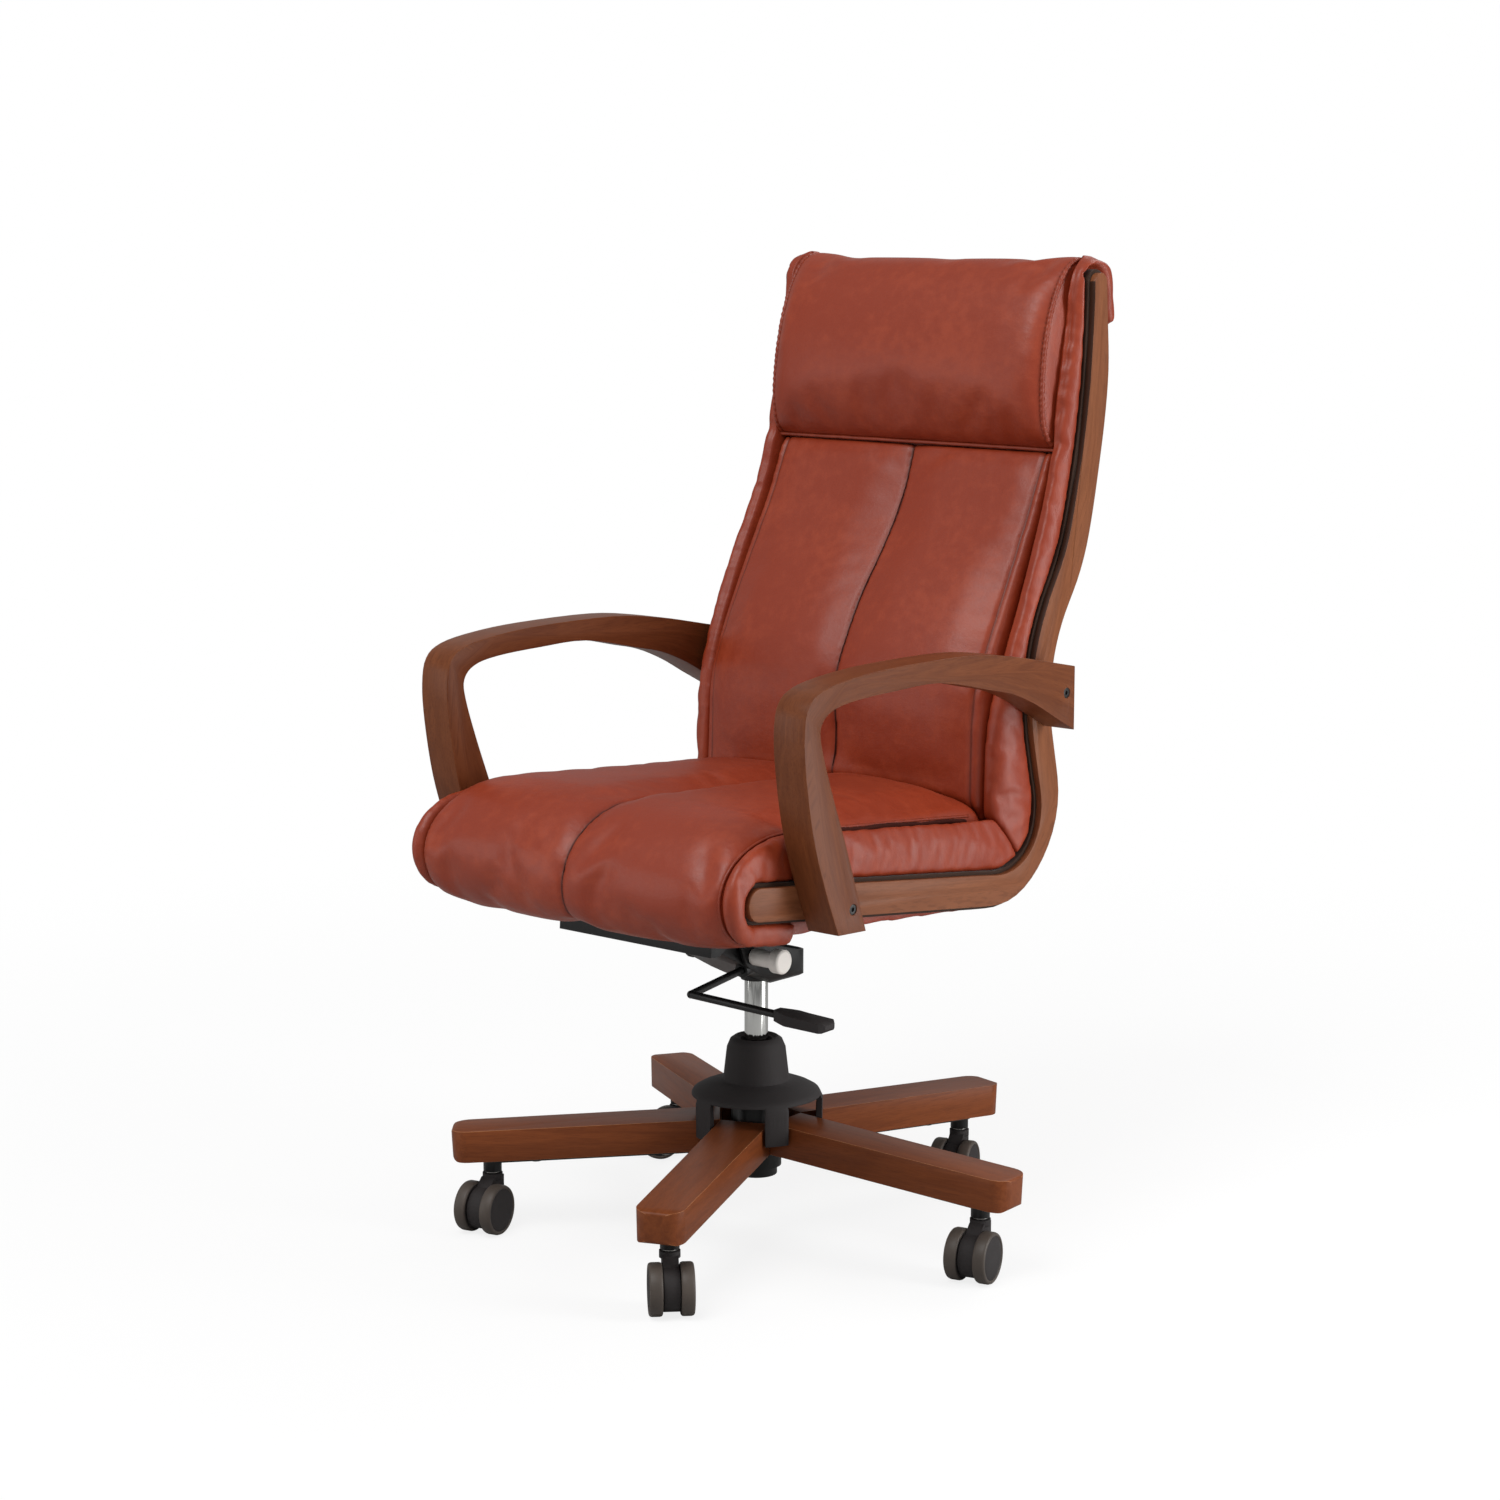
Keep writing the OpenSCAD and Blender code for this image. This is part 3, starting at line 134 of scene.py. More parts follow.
class Tree:
    """A node tree, with one method that adds any node to it."""

    def __init__(self, tree: bpy.types.NodeTree) -> None:
        """Starts on an empty tree."""
        self.tree = tree
        tree.nodes.clear()

    def node(
        self,
        kind: str,
        settings: dict[str, Any] | None = None,
        inputs: dict[int | str, Any] | None = None,
        out: int | str = 0,
    ) -> Signal:
        """Adds a node.

        Args:
            kind: the node's type.
            settings: its properties, set first.
            inputs: values or signals, by the socket's name or number.
            out: the output to return.

        Returns:
            The chosen output.
        """
        made = self.tree.nodes.new(kind)
        for name, value in (settings or {}).items():
            setattr(made, name, value)
        for key, value in (inputs or {}).items():
            if isinstance(value, Signal):
                self.tree.links.new(value.socket, made.inputs[key])
            else:
                made.inputs[key].default_value = value
        return Signal(self, made.outputs[out])

    def output(self, kind: str, signal: Signal) -> None:
        """Connects a signal to a new output node."""
        self.tree.links.new(signal.socket, self.tree.nodes.new(kind).inputs[0])


class Paint(Tree):
    """One material while it is put together."""

    def __init__(self, name: str) -> None:
        """Makes the material and clears its tree."""
        self.material = bpy.data.materials.new(name)
        self.material.use_nodes = True
        super().__init__(self.material.node_tree)

    def place(self) -> Signal:
        """Object coordinates, in metres."""
        return self.node("ShaderNodeTexCoord", out="Object")

    def attribute(self, name: str, out: str = "Vector") -> Signal:
        """A value that was stored on the mesh."""
        return self.node("ShaderNodeAttribute", {"attribute_name": name}, out=out)

    def part(self, vector: Signal, axis: str) -> Signal:
        """One of a vector's three numbers."""
        return self.node("ShaderNodeSeparateXYZ", inputs={0: vector}, out=axis)

    def stretch(self, vector: Signal, scale: Sequence[float], shift: Sequence[float] = (0, 0, 0)) -> Signal:
        """A vector with each of its numbers scaled, then moved."""
        return self.node("ShaderNodeMapping", inputs={"Vector": vector, "Scale": scale, "Location": shift})

    def noise(self, vector: Signal, scale: float, detail: float = 2.0, rough: float = 0.5) -> Signal:
        """Smooth random values between 0 and 1."""
        return self.node("ShaderNodeTexNoise", inputs={
            "Vector": vector, "Scale": scale, "Detail": detail, "Roughness": rough})

    def cells(self, vector: Signal, scale: float) -> Signal:
        """Distances in a smooth cell pattern."""
        inputs = {"Vector": vector, "Scale": scale}
        return self.node("ShaderNodeTexVoronoi", {"feature": "SMOOTH_F1"}, inputs, "Distance")

    def blend(self, first: Any, second: Any, share: Operand) -> Signal:
        """Mixes two colours.

        Args:
            first: colour or signal at share 0.
            second: colour or signal at share 1.
            share: how much of the second.

        Returns:
            The mixed colour.
        """
        ends = [c if isinstance(c, Signal) else (*c, 1.0) for c in (first, second)]
        return self.node("ShaderNodeMix", {"data_type": "RGBA"}, {0: share, 6: ends[0], 7: ends[1]}, 2)

    def bump(
        self, height: Signal, depth: float, strength: float = 1.0, under: Signal | None = None
    ) -> Signal:
        """A normal from a height.

        Args:
            height: the height, where 1 is depth metres high.
            depth: metres for a height of 1.
            strength: how much of it shows.
            under: a normal to add it to.

        Returns:
            The normal.
        """
        inputs: dict[int | str, Any] = {"Height": height, "Distance": depth, "Strength": strength}
        if under is not None:
            inputs["Normal"] = under
        return self.node("ShaderNodeBump", inputs=inputs)

    def close(self, **sockets: Any) -> bpy.types.Material:
        """Ends the material in a Principled shader.

        Args:
            sockets: values or signals, by the socket's name with _ for a space.

        Returns:
            The finished material.
        """
        inputs = {}
        for name, value in sockets.items():
            plain = isinstance(value, tuple) and len(value) == 3
            inputs[name.replace("_", " ")] = (*value, 1.0) if plain else value
        self.surface(self.node("ShaderNodeBsdfPrincipled", inputs=inputs))
        return self.material

    def surface(self, shader: Signal) -> None:
        """Makes a shader the material's surface."""
        self.output("ShaderNodeOutputMaterial", shader)


@dataclass(frozen=True)
class Leather:
    """Grained leather: pebbled, a little uneven in colour, darker where it is sewn down, and darker in its
    creases and hollows, which is painted shade.
    """

    name: str
    colour: Colour
    deep: Colour
    pale: Colour
    cell: float = 1.3 * MM
    roughness: float = 0.43
    sewn: bool = True

    def make(self) -> bpy.types.Material:
        """Builds the material."""
        p = Paint(self.name)
        at = p.place()
        mottle = p.noise(at, 9.0, 3.0, 0.55)
        cloud = p.noise(at, 70.0, 3.0, 0.6)
        tone = p.blend(self.colour, self.pale, (mottle * 0.5 + cloud * 0.5).rise(0.42, 0.68) * 0.6)
        pebble = p.cells(at, 1 / self.cell)
        fine = p.noise(at, 2600.0, 2.0)
        wrinkle = p.noise(p.stretch(at, (1.0, 1.6, 1.3)), 110.0, 4.0, 0.6)
        skin = p.bump(pebble * 0.75 + fine * 0.25, 0.16 * MM, 0.5)
        skin = p.bump(wrinkle, 0.6 * MM, 0.55, skin)
        rough = pebble * 0.12 + cloud * 0.1 + (self.roughness - 0.08)
        if self.sewn:
            lines = p.attribute("seam")
            centre = abs(p.part(lines, "X")).rise(0.6 * MM, 2.0 * MM)
            edge = abs(p.part(lines, "Y")).rise(0.5 * MM, 1.8 * MM)
            tone = p.blend(p.blend(self.deep, tone, 0.3), tone, centre)
            tone = p.blend(p.blend(self.deep, tone, 0.62), tone, edge)
            # Painted shade: the leather darkens in its creases and hollows.
            fold = p.attribute("crease", "Fac")
            tone = p.blend(tone, self.deep, fold * 0.75)
            skin = p.bump(edge, 0.3 * MM, 0.6, skin)
            rough = rough + fold * 0.15
        return p.close(Base_Color=tone, Roughness=rough, Normal=skin, Specular_IOR_Level=0.45)


@dataclass(frozen=True)
class Cloth:
    """Plain woven or felted cloth."""

    name: str
    colour: Colour
    thread: float = 0.7 * MM
    roughness: float = 0.85
    sheen: float = 0.15

    def make(self) -> bpy.types.Material:
        """Builds the material."""
        p = Paint(self.name)
        at = p.place()
        fuzz = p.noise(at, 1 / self.thread, 2.0)
        patch = p.noise(at, 25.0, 2.0)
        tone = p.blend(self.colour, tuple(c * 1.7 for c in self.colour), fuzz * 0.5 + patch * 0.3)
        return p.close(Base_Color=tone, Roughness=fuzz * 0.1 + (self.roughness - 0.05),
                       Normal=p.bump(fuzz, 0.25 * MM, 0.6), Sheen_Weight=self.sheen, Specular_IOR_Level=0.2)


@dataclass(frozen=True)
class Wood:
    """Stained and lacquered wood; the mesh's grain attribute runs along the fibres."""

    name: str
    colour: Colour
    dark: Colour
    light: Colour
    roughness: float = 0.36

    def make(self) -> bpy.types.Material:
        """Builds the material."""
        p = Paint(self.name)
        run = p.attribute("grain")
        figure = p.noise(p.stretch(run, (2.2, 26.0, 26.0)), 1.0, 3.0, 0.6)
        fibre = p.noise(p.stretch(run, (9.0, 420.0, 420.0), (3.1, 0.0, 1.7)), 1.0, 3.0, 0.65)
        pores = p.noise(p.stretch(run, (60.0, 1500.0, 1500.0), (0.4, 2.0, 0.0)), 1.0, 1.0)
        rings = (figure * 46.0).sine() * 0.5 + 0.5
        tone = p.blend(self.dark, self.light, (figure * 0.5 + rings * 0.15 + fibre * 0.35).rise(0.2, 0.8))
        tone = p.blend(tone, self.colour, 0.6)
        tone = p.blend(tone, self.dark, pores.rise(0.5, 0.68) * 0.4)
        skin = p.bump(fibre * 0.6 + pores * 0.4, 0.12 * MM, 0.4)
        rough = fibre * 0.12 + (self.roughness - 0.04)
        return p.close(Base_Color=tone, Roughness=rough, Normal=skin, Specular_IOR_Level=0.18)


@dataclass(frozen=True)
class Metal:
    """Bare or plated metal, turned or brushed round the upright axis, with darker upright bands in its
    colour that are painted reflection.
    """

    name: str
    colour: Colour
    roughness: float = 0.18
    brushed: float = 0.3

    def make(self) -> bpy.types.Material:
        """Builds the material."""
        p = Paint(self.name)
        at = p.place()
        streak = p.noise(p.stretch(at, (60.0, 60.0, 2600.0)), 1.0, 2.0)
        reflection_bands = p.noise(p.stretch(at, (110.0, 110.0, 2.0)), 1.0, 2.0)
        # Painted reflection: the colour darkens in upright bands.
        tone = p.blend(self.colour, tuple(c * 0.55 for c in self.colour), reflection_bands.rise(0.4, 0.65) * 0.5)
        rough = streak * 0.14 + reflection_bands * 0.1 + (self.roughness - 0.08)
        return p.close(Base_Color=tone, Metallic=1.0, Roughness=rough,
                       Normal=p.bump(streak, 0.05 * MM, self.brushed))


@dataclass(frozen=True)
class Coating:
    """Paint or moulded plastic with a fine surface texture."""

    name: str
    colour: Colour
    roughness: float = 0.5
    texture: float = 0.5 * MM
    depth: float = 0.06 * MM
    glow: float = 1.6

    def make(self) -> bpy.types.Material:
        """Builds the material."""
        p = Paint(self.name)
        at = p.place()
        spark = p.noise(at, 1 / self.texture, 2.0)
        patch = p.noise(at, 22.0, 3.0)
        light = tuple(min(1.0, c * self.glow) for c in self.colour)
        tone = p.blend(self.colour, light, patch.rise(0.4, 0.8) * 0.6)
        rough = spark * 0.12 + patch * 0.14 + (self.roughness - 0.13)
        return p.close(Base_Color=tone, Roughness=rough, Normal=p.bump(spark, self.depth, 0.7),
                       Specular_IOR_Level=0.35)


class Finish(Enum):
    """The chair's finishes."""

    LEATHER = Leather("cognac_leather", srgb(138, 48, 21), srgb(58, 14, 6), srgb(158, 63, 32))
    PIPING = Leather("leather_piping", srgb(130, 46, 22), srgb(58, 14, 6), srgb(154, 62, 34), sewn=False)
    THREAD = Cloth("seam_thread", srgb(82, 34, 22), 0.3 * MM, 0.7)
    # Dark cord: painted shadow in the folds under the seat pad's edges, and along the centre seams the
    # seams' dark line deepened by painted shade.
    SEAM = Cloth("seam_shadow", srgb(52, 17, 9), 0.4 * MM, 0.95, 0.0)
    LINING = Cloth("dark_felt", srgb(48, 30, 20), 0.8 * MM)
    DUST_COVER = Cloth("dust_cover", srgb(30, 28, 28), 1.1 * MM, 0.9)
    ARM_WOOD = Wood("walnut_arm", srgb(108, 57, 31), srgb(77, 38, 19), srgb(136, 79, 45))
    STRIP_WOOD = Wood("walnut_strip", srgb(126, 74, 46), srgb(94, 52, 30), srgb(152, 96, 64))
    DARK_EDGE = Wood("dark_front_edge", srgb(58, 33, 22), srgb(44, 24, 16), srgb(72, 44, 30), roughness=0.5)
    LEG_WOOD = Wood("stained_leg", srgb(118, 60, 30), srgb(86, 42, 20), srgb(146, 80, 42))
    # Pale colour of the legs' rounded edges: painted highlight along the edges, together with wear.
    EDGE_HIGHLIGHT_AND_WEAR = Wood("edge_highlight_and_wear", srgb(206, 142, 94), srgb(166, 104, 64), srgb(226, 168, 122), roughness=0.4)
    BLACK_STEEL = Coating("black_steel", srgb(20, 18, 17), 0.42, 0.9 * MM)
    BLACK_PLASTIC = Coating("black_plastic", srgb(17, 15, 14), 0.34, 0.5 * MM, 0.06 * MM)
    BRIGHT_STEEL = Metal("bright_steel", srgb(176, 172, 168), 0.3)
    CHROME = Metal("chrome", srgb(238, 229, 222), 0.2, 0.12)
    PALE_PLASTIC = Coating("pale_knob", srgb(246, 240, 233), 0.34, 0.8 * MM, 0.03 * MM, 1.02)
    RED_PLASTIC = Coating("red_button", srgb(150, 32, 28), 0.4)
    TREAD = Coating("taupe_tread", srgb(72, 64, 58), 0.48, 0.6 * MM)

    @property
    def material(self) -> bpy.types.Material:
        """The finish's material, made once."""
        return bpy.data.materials.get(self.value.name) or self.value.make()


def nearest(points: Array, spots: Array, block: int = 4000) -> Array:
    """For each point, the number of the nearest spot, worked out a block of points at a time."""
    blocks = [points[first:first + block, None] for first in range(0, len(points), block)]
    return np.concatenate([((b - spots[None]) ** 2).sum(2).argmin(1) for b in blocks])


@dataclass(frozen=True)
class SeatLine:
    """The line in the Y, Z plane that all side pieces follow, from the seat's front to the back's top.

    A run is its length in millimetres and the degrees that it bends by.
    """

    start: tuple[float, float] = (-0.280, 0.474)
    fall: float = 6.8
    runs: tuple[tuple[float, float], ...] = (
        (420.0, 0.0), (94.0 * math.radians(110), 110.0), (50.0, 0.0), (233.0 * math.radians(44.5), -44.5),
        (18.0, 0.0), (282.0 * math.radians(12.8), 12.8), (792.0 * math.radians(20.8), 20.8))
    to_seam: float = 0.400

    @property
    def length(self) -> float:
        """Length of the line, in metres."""
        return sum(r[0] for r in self.runs) * MM

    @property
    def bend_end(self) -> float:
        """Distance along the line where the back starts."""
        return (self.runs[0][0] + self.runs[1][0]) * MM

    @property
    def seam(self) -> float:
        """Distance along the line of the seam under the headrest."""
        return self.bend_end + self.to_seam

    def frame(self, s: float) -> tuple[Array, float]:
        """The line at a distance.

        Args:
            s: distance from the front end, in metres.

        Returns:
            The point and the direction in radians.
        """
        point, angle, left = np.array(self.start), -math.radians(self.fall), s
        for number, (run, turn) in enumerate(self.runs):
            run, turn = run * MM, math.radians(turn)
            part = left if number == len(self.runs) - 1 else min(left, run)
            bend = turn * part / run
            if abs(bend) < 1e-6:
                point = point + part * np.array([math.cos(angle), math.sin(angle)])
            else:
                r = part / bend
                point = point + r * np.array(
                    [math.sin(angle + bend) - math.sin(angle), math.cos(angle) - math.cos(angle + bend)])
            angle += bend
            left -= part
            if left <= 1e-9:
                break
        return point, angle

    def at(self, s: float, n: float) -> Array:
        """Point at distance s along the line and n above it."""
        point, angle = self.frame(s)
        return point + n * np.array([-math.sin(angle), math.cos(angle)])

    def locate(self, yz: Array, low: float, high: float) -> Array:
        """Finds points on the line.

        Args:
            yz: points, one a row.
            low: where the search starts along the line.
            high: where it ends.

        Returns:
            Distance along the line and height above it, one row a point.
        """
        tried = np.arange(low, high, 2 * MM)
        frames = [self.frame(s) for s in tried]
        spot = np.array([f[0] for f in frames])
        angle = np.array([f[1] for f in frames])
        best = nearest(yz, spot)
        away, cos, sin = yz - spot[best], np.cos(angle[best]), np.sin(angle[best])
        along = away[:, 0] * cos + away[:, 1] * sin
        return np.column_stack([tried[best] + along, away[:, 1] * cos - away[:, 0] * sin])


LINE = SeatLine()
SEAT_HALF, BACK_HALF = 0.228, 0.214  # half the widths of the seat's and the back's pads
SIDE_LEAN = 10.5 * MM  # how far the sides are drawn in at the top
SHARP = 34.0  # edges sharper than this many degrees are rounded
WHITE = (1.0, 1.0, 1.0, 1.0)


def step(values: Array, low: float, high: float) -> Array:
    """A smooth step from 0 at low to 1 at high."""
    u = np.clip((values - low) / (high - low), 0, 1)
    return u * u * (3 - 2 * u)


def coordinates(mesh: Mesh, what: str = "co") -> Array:
    """The places, or what else is asked for, of all the vertices of a mesh, one a row."""
    flat = np.empty(len(mesh.vertices) * 3, np.float32)
    mesh.vertices.foreach_get(what, flat)
    return flat.reshape(-1, 3).astype(float)


def move(mesh: Mesh, places: Array) -> None:
    """Sets a mesh's vertices."""
    mesh.vertices.foreach_set("co", places.astype(np.float32).ravel())
    mesh.update()


def store(mesh: Mesh, name: str, values: Array) -> None:
    """Stores one number or one vector for each vertex.

    Args:
        mesh: the mesh.
        name: the attribute's name.
        values: one number or one row of three a vertex.
    """
    kind, key = ("FLOAT", "value") if values.ndim == 1 else ("FLOAT_VECTOR", "vector")
    attribute = mesh.attributes.new(name, kind, "POINT")
    attribute.data.foreach_set(key, values.astype(np.float32).ravel())


def eased(mesh: Mesh, values: Array, rounds: int) -> Array:
    """Evens out values over a mesh's edges.

    Args:
        mesh: the mesh.
        values: one row a vertex.
        rounds: how many times each goes half the way to its neighbours' mean.

    Returns:
        The evened values.
    """
    ends = np.empty(len(mesh.edges) * 2, np.int32)
    mesh.edges.foreach_get("vertices", ends)
    a, b = ends[0::2], ends[1::2]
    many = np.bincount(ends, minlength=len(values)).clip(1)
    flat = values.reshape(len(values), -1).astype(float)
    for _ in range(rounds):
        total = np.stack([
            np.bincount(a, flat[b, k], len(flat)) + np.bincount(b, flat[a, k], len(flat))
            for k in range(flat.shape[1])], 1)
        flat = flat + 0.5 * (total / many[:, None] - flat)
    return flat.reshape(values.shape)


def evaluated(obj: Object) -> Mesh:
    """A new mesh of an object with its modifiers applied."""
    return bpy.data.meshes.new_from_object(obj.evaluated_get(bpy.context.evaluated_depsgraph_get()))


def baked(obj: Object) -> None:
    """Applies all modifiers of an object."""
    result = evaluated(obj)
    obj.modifiers.clear()
    obj.data = result


def add(name: str, data: bpy.types.ID) -> Object:
    """Puts a mesh, curve, camera or lamp in the scene."""
    obj = bpy.data.objects.new(name, data)
    bpy.context.scene.collection.objects.link(obj)
    return obj


def copied(node: str, name: str, flat: float = 0.3) -> Object:
    """Copies a CAD node with its triangles joined.

    Args:
        node: the CAD node.
        name: name of the new object.
        flat: faces that meet at less than this many degrees are joined; 0 keeps them.

    Returns:
        The copy.
    """
    shape = bmesh.new()
    shape.from_mesh(bpy.data.objects[node].data)
    bmesh.ops.remove_doubles(shape, verts=shape.verts, dist=2e-6)
    if flat:
        bmesh.ops.dissolve_limit(shape, angle_limit=math.radians(flat), verts=shape.verts, edges=shape.edges)
    mesh = bpy.data.meshes.new(name)
    shape.to_mesh(mesh)
    shape.free()
    return add(name, mesh)


def rounded(obj: Object, width: float, steps: int = 2, slot: int = -1) -> None:
    """Rounds an object's sharp edges.

    Args:
        obj: the object.
        width: width of the rounding, in metres.
        steps: number of strips in it.
        slot: material slot of the new faces, or -1 for their neighbours'.
    """
    bevel = obj.modifiers.new("round", "BEVEL")
    bevel.width = width
    bevel.segments = steps
    bevel.limit_method = "ANGLE"
    bevel.angle_limit = math.radians(SHARP)
    bevel.harden_normals = True
    bevel.material = slot
    bevel.miter_outer = "MITER_ARC"
    obj.data.shade_smooth()
    baked(obj)


def dressed(
    obj: Object, body: str, nodes: Sequence[str], finishes: Sequence[Finish]
) -> None:
    """Gives a piece its materials and ties it to the frame.

    Args:
        obj: the piece.
        body: the CAD body that it rides on.
        nodes: the CAD nodes that it stands for.
        finishes: its materials, in order.
    """
    places = np.array([p.material_index for p in obj.data.polygons], np.int32)
    obj.data.materials.clear()
    for finish in finishes:
        obj.data.materials.append(finish.material)
    obj.data.polygons.foreach_set("material_index", places.clip(0, len(finishes) - 1))
    obj.data.update()
    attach(obj, body)
    if nodes:
        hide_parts(*nodes)
    log.info("%s: %d faces on %s", obj.name, len(obj.data.polygons), body)


class Graph(Tree):
    """A geometry node tree with named inputs."""

    def __init__(self, name: str, sizes: dict[str, float]) -> None:
        """Makes the tree's sockets.

        Args:
            name: name of the tree.
            sizes: named numbers and their defaults.
        """
        group = bpy.data.node_groups.new(name, "GeometryNodeTree")
        super().__init__(group)
        group.interface.new_socket("Geometry", in_out="INPUT", socket_type="NodeSocketGeometry")
        group.interface.new_socket("Geometry", in_out="OUTPUT", socket_type="NodeSocketGeometry")
        self.keys: dict[str, str] = {}
        for label, value in sizes.items():
            socket = group.interface.new_socket(label, in_out="INPUT", socket_type="NodeSocketFloat")
            socket.default_value = value
            self.keys[label] = socket.identifier
        self.entry = group.nodes.new("NodeGroupInput")

    def given(self, label: str) -> Signal:
        """A named input."""
        return Signal(self, self.entry.outputs[label])

    def end(self, shape: Signal, finish: Finish) -> None:
        """Realizes the instances, sets the material and closes the tree."""
        real = self.node("GeometryNodeRealizeInstances", inputs={0: shape})
        done = self.node("GeometryNodeSetMaterial", inputs={"Geometry": real, "Material": finish.material})
        self.output("NodeGroupOutput", done)

    def run(self, source: Object, sizes: dict[str, float]) -> Object:
        """Runs the tree on an object and keeps the result as its mesh.

        Args:
            source: a curve object, which is used up.
            sizes: named inputs.

        Returns:
            A new mesh object under the same name.
        """
        maker = source.modifiers.new("make", "NODES")
        maker.node_group = self.tree
        for label, value in sizes.items():
            maker[self.keys[label]] = value
        mesh, name = evaluated(source), source.name
        bpy.data.objects.remove(source)
        return add(name, mesh)


def curve_of(name: str, paths: Sequence[Array]) -> Object:
    """A curve object through points.

    Args:
        name: its name.
        paths: one array of points for each spline.

    Returns:
        The curve object.
    """
    curve = bpy.data.curves.new(name, "CURVE")
    curve.dimensions = "3D"
    for path in paths:
        spline = curve.splines.new("POLY")
        spline.points.add(len(path) - 1)
        spline.points.foreach_set("co", np.column_stack([path, np.ones(len(path))]).ravel())
    return add(name, curve)


def piping_tree(finish: Finish) -> Graph:
    """A cord that follows a curve, a little uneven as it is sewn, and gathered where that is asked for.

    Args:
        finish: the cord's finish.

    Returns:
        The tree.
    """
    g = Graph("piping", {"Radius": 2.0 * MM, "Pitch": 1.5 * MM, "Wobble": 0.18, "Gathers": 0.0})
    gather_pitch, wander = 7.4 * MM, 4.0 * MM
    even = g.node("GeometryNodeResampleCurve", {"mode": "LENGTH"},
                  {"Curve": g.given("Geometry"), "Length": g.given("Pitch")})
    chance = g.node("ShaderNodeTexNoise", inputs={"Scale": 160.0, "Detail": 1.0})
    along = g.node("GeometryNodeSplineParameter", out="Length")
    gather = ((along + chance * wander) * (2 * math.pi / gather_pitch)).sine()
    size = (chance - 0.5) * g.given("Wobble") * 2.0 + gather * g.given("Gathers") + 1.0
    sized = g.node("GeometryNodeSetCurveRadius", inputs={"Curve": even, "Radius": size})
    ring = g.node("GeometryNodeCurvePrimitiveCircle", {"mode": "RADIUS"},
                  {"Resolution": 10, "Radius": g.given("Radius")})
    tube = g.node("GeometryNodeCurveToMesh", inputs={
        "Curve": sized, "Profile Curve": ring, "Fill Caps": True, "Scale": size})
    g.end(g.node("GeometryNodeSetShadeSmooth", inputs={"Geometry": tube}), finish)
    return g


def stitch_tree() -> Graph:
    """Stitches of thread along a curve."""
    g = Graph("stitches", {"Pitch": 6.0 * MM, "Length": 3.8 * MM, "Thickness": 0.7 * MM, "Slant": 0.12})
    thick, slant = g.given("Thickness"), g.given("Slant")
    spots = g.node("GeometryNodeCurveToPoints", {"mode": "LENGTH"},
                   {"Curve": g.given("Geometry"), "Length": g.given("Pitch")})
    bead = g.node("GeometryNodeMeshUVSphere", inputs={"Segments": 6, "Rings": 5, "Radius": 0.5})
    size = g.node("ShaderNodeCombineXYZ", inputs={0: thick, 1: thick, 2: g.given("Length")})
    lean = g.node("FunctionNodeRandomValue", {"data_type": "FLOAT"},
                  {2: slant * -1.0, 3: slant, "Seed": 7}, 1)
    tilt = g.node("ShaderNodeCombineXYZ", inputs={0: lean})
    way = g.node("FunctionNodeRotateRotation", {"rotation_space": "LOCAL"},
                 {0: spots.beside("Rotation"), 1: tilt})
    placed = g.node("GeometryNodeInstanceOnPoints", inputs={
        "Points": spots, "Instance": bead, "Rotation": way, "Scale": size})
    g.end(placed, Finish.THREAD)
    return g


def through(knots: Sequence[Sequence[float]]) -> Array:
    """A smooth path through knots.

    Args:
        knots: the points that it passes.

    Returns:
        The samples, one a row.
    """
    parts = 6
    k = np.array(knots, float)
    k = np.vstack([k[0], k, k[-1]])
    t = np.arange(parts)[:, None] / parts
    rows = []
    for a, b, c, d in zip(k[:-3], k[1:-2], k[2:-1], k[3:]):
        square, cube = 2 * a - 5 * b + 4 * c - d, 3 * b - a - 3 * c + d
        rows.append(0.5 * (2 * b + (c - a) * t + square * t**2 + cube * t**3))
    return np.vstack(rows + [k[-1:]])


def calmed(rows: list[Array], rounds: int) -> Array:
    """Evens out a path.

    Args:
        rows: its points, of which the first and the last stay.
        rounds: how many times.

    Returns:
        The evened path.
    """
    path = np.array(rows)
    for _ in range(rounds):
        path[1:-1] = path[1:-1] * 0.5 + (path[:-2] + path[2:]) * 0.25
    return path


def laid(path: Array, cover: Object, lift: float) -> Array:
    """Lays a path on a piece.

    Args:
        path: points near the piece.
        cover: the piece.
        lift: height above its surface.

    Returns:
        The points on it.
    """
    tree = BVHTree.FromObject(cover, bpy.context.evaluated_depsgraph_get())
    found = [tree.find_nearest(Vector(point)) for point in path]
    return calmed([np.array(spot) + lift * np.array(normal) for spot, normal, _, _ in found], 3)


def dropped(outer: Array, inner: Array, cover: Object) -> Array:
    """Drops a path straight on a piece, so that it stays in the bottom of a groove.

    Args:
        outer: points outside the piece.
        inner: for each of them, a point within it.
        cover: the piece.

    Returns:
        The points where the lines between them meet the surface, lifted a little.
    """
    lift = 0.1 * MM
    tree = BVHTree.FromObject(cover, bpy.context.evaluated_depsgraph_get())
    rows = []
    for first, last in zip(outer, inner):
        way = Vector(last - first).normalized()
        spot = tree.ray_cast(Vector(first), way)[0]
        if spot is not None:
            rows.append(np.array(spot - way * lift))
    return calmed(rows, 2)


Measure = Callable[[Array], Array]
LAST_FRAME = 20  # of the filling
CLOTH = {
    "quality": 5, "mass": 0.25, "tension_stiffness": 18, "compression_stiffness": 12, "shear_stiffness": 6,
    "bending_stiffness": 1.2, "use_pressure": True, "vertex_group_mass": "held", "pin_stiffness": 1.5}


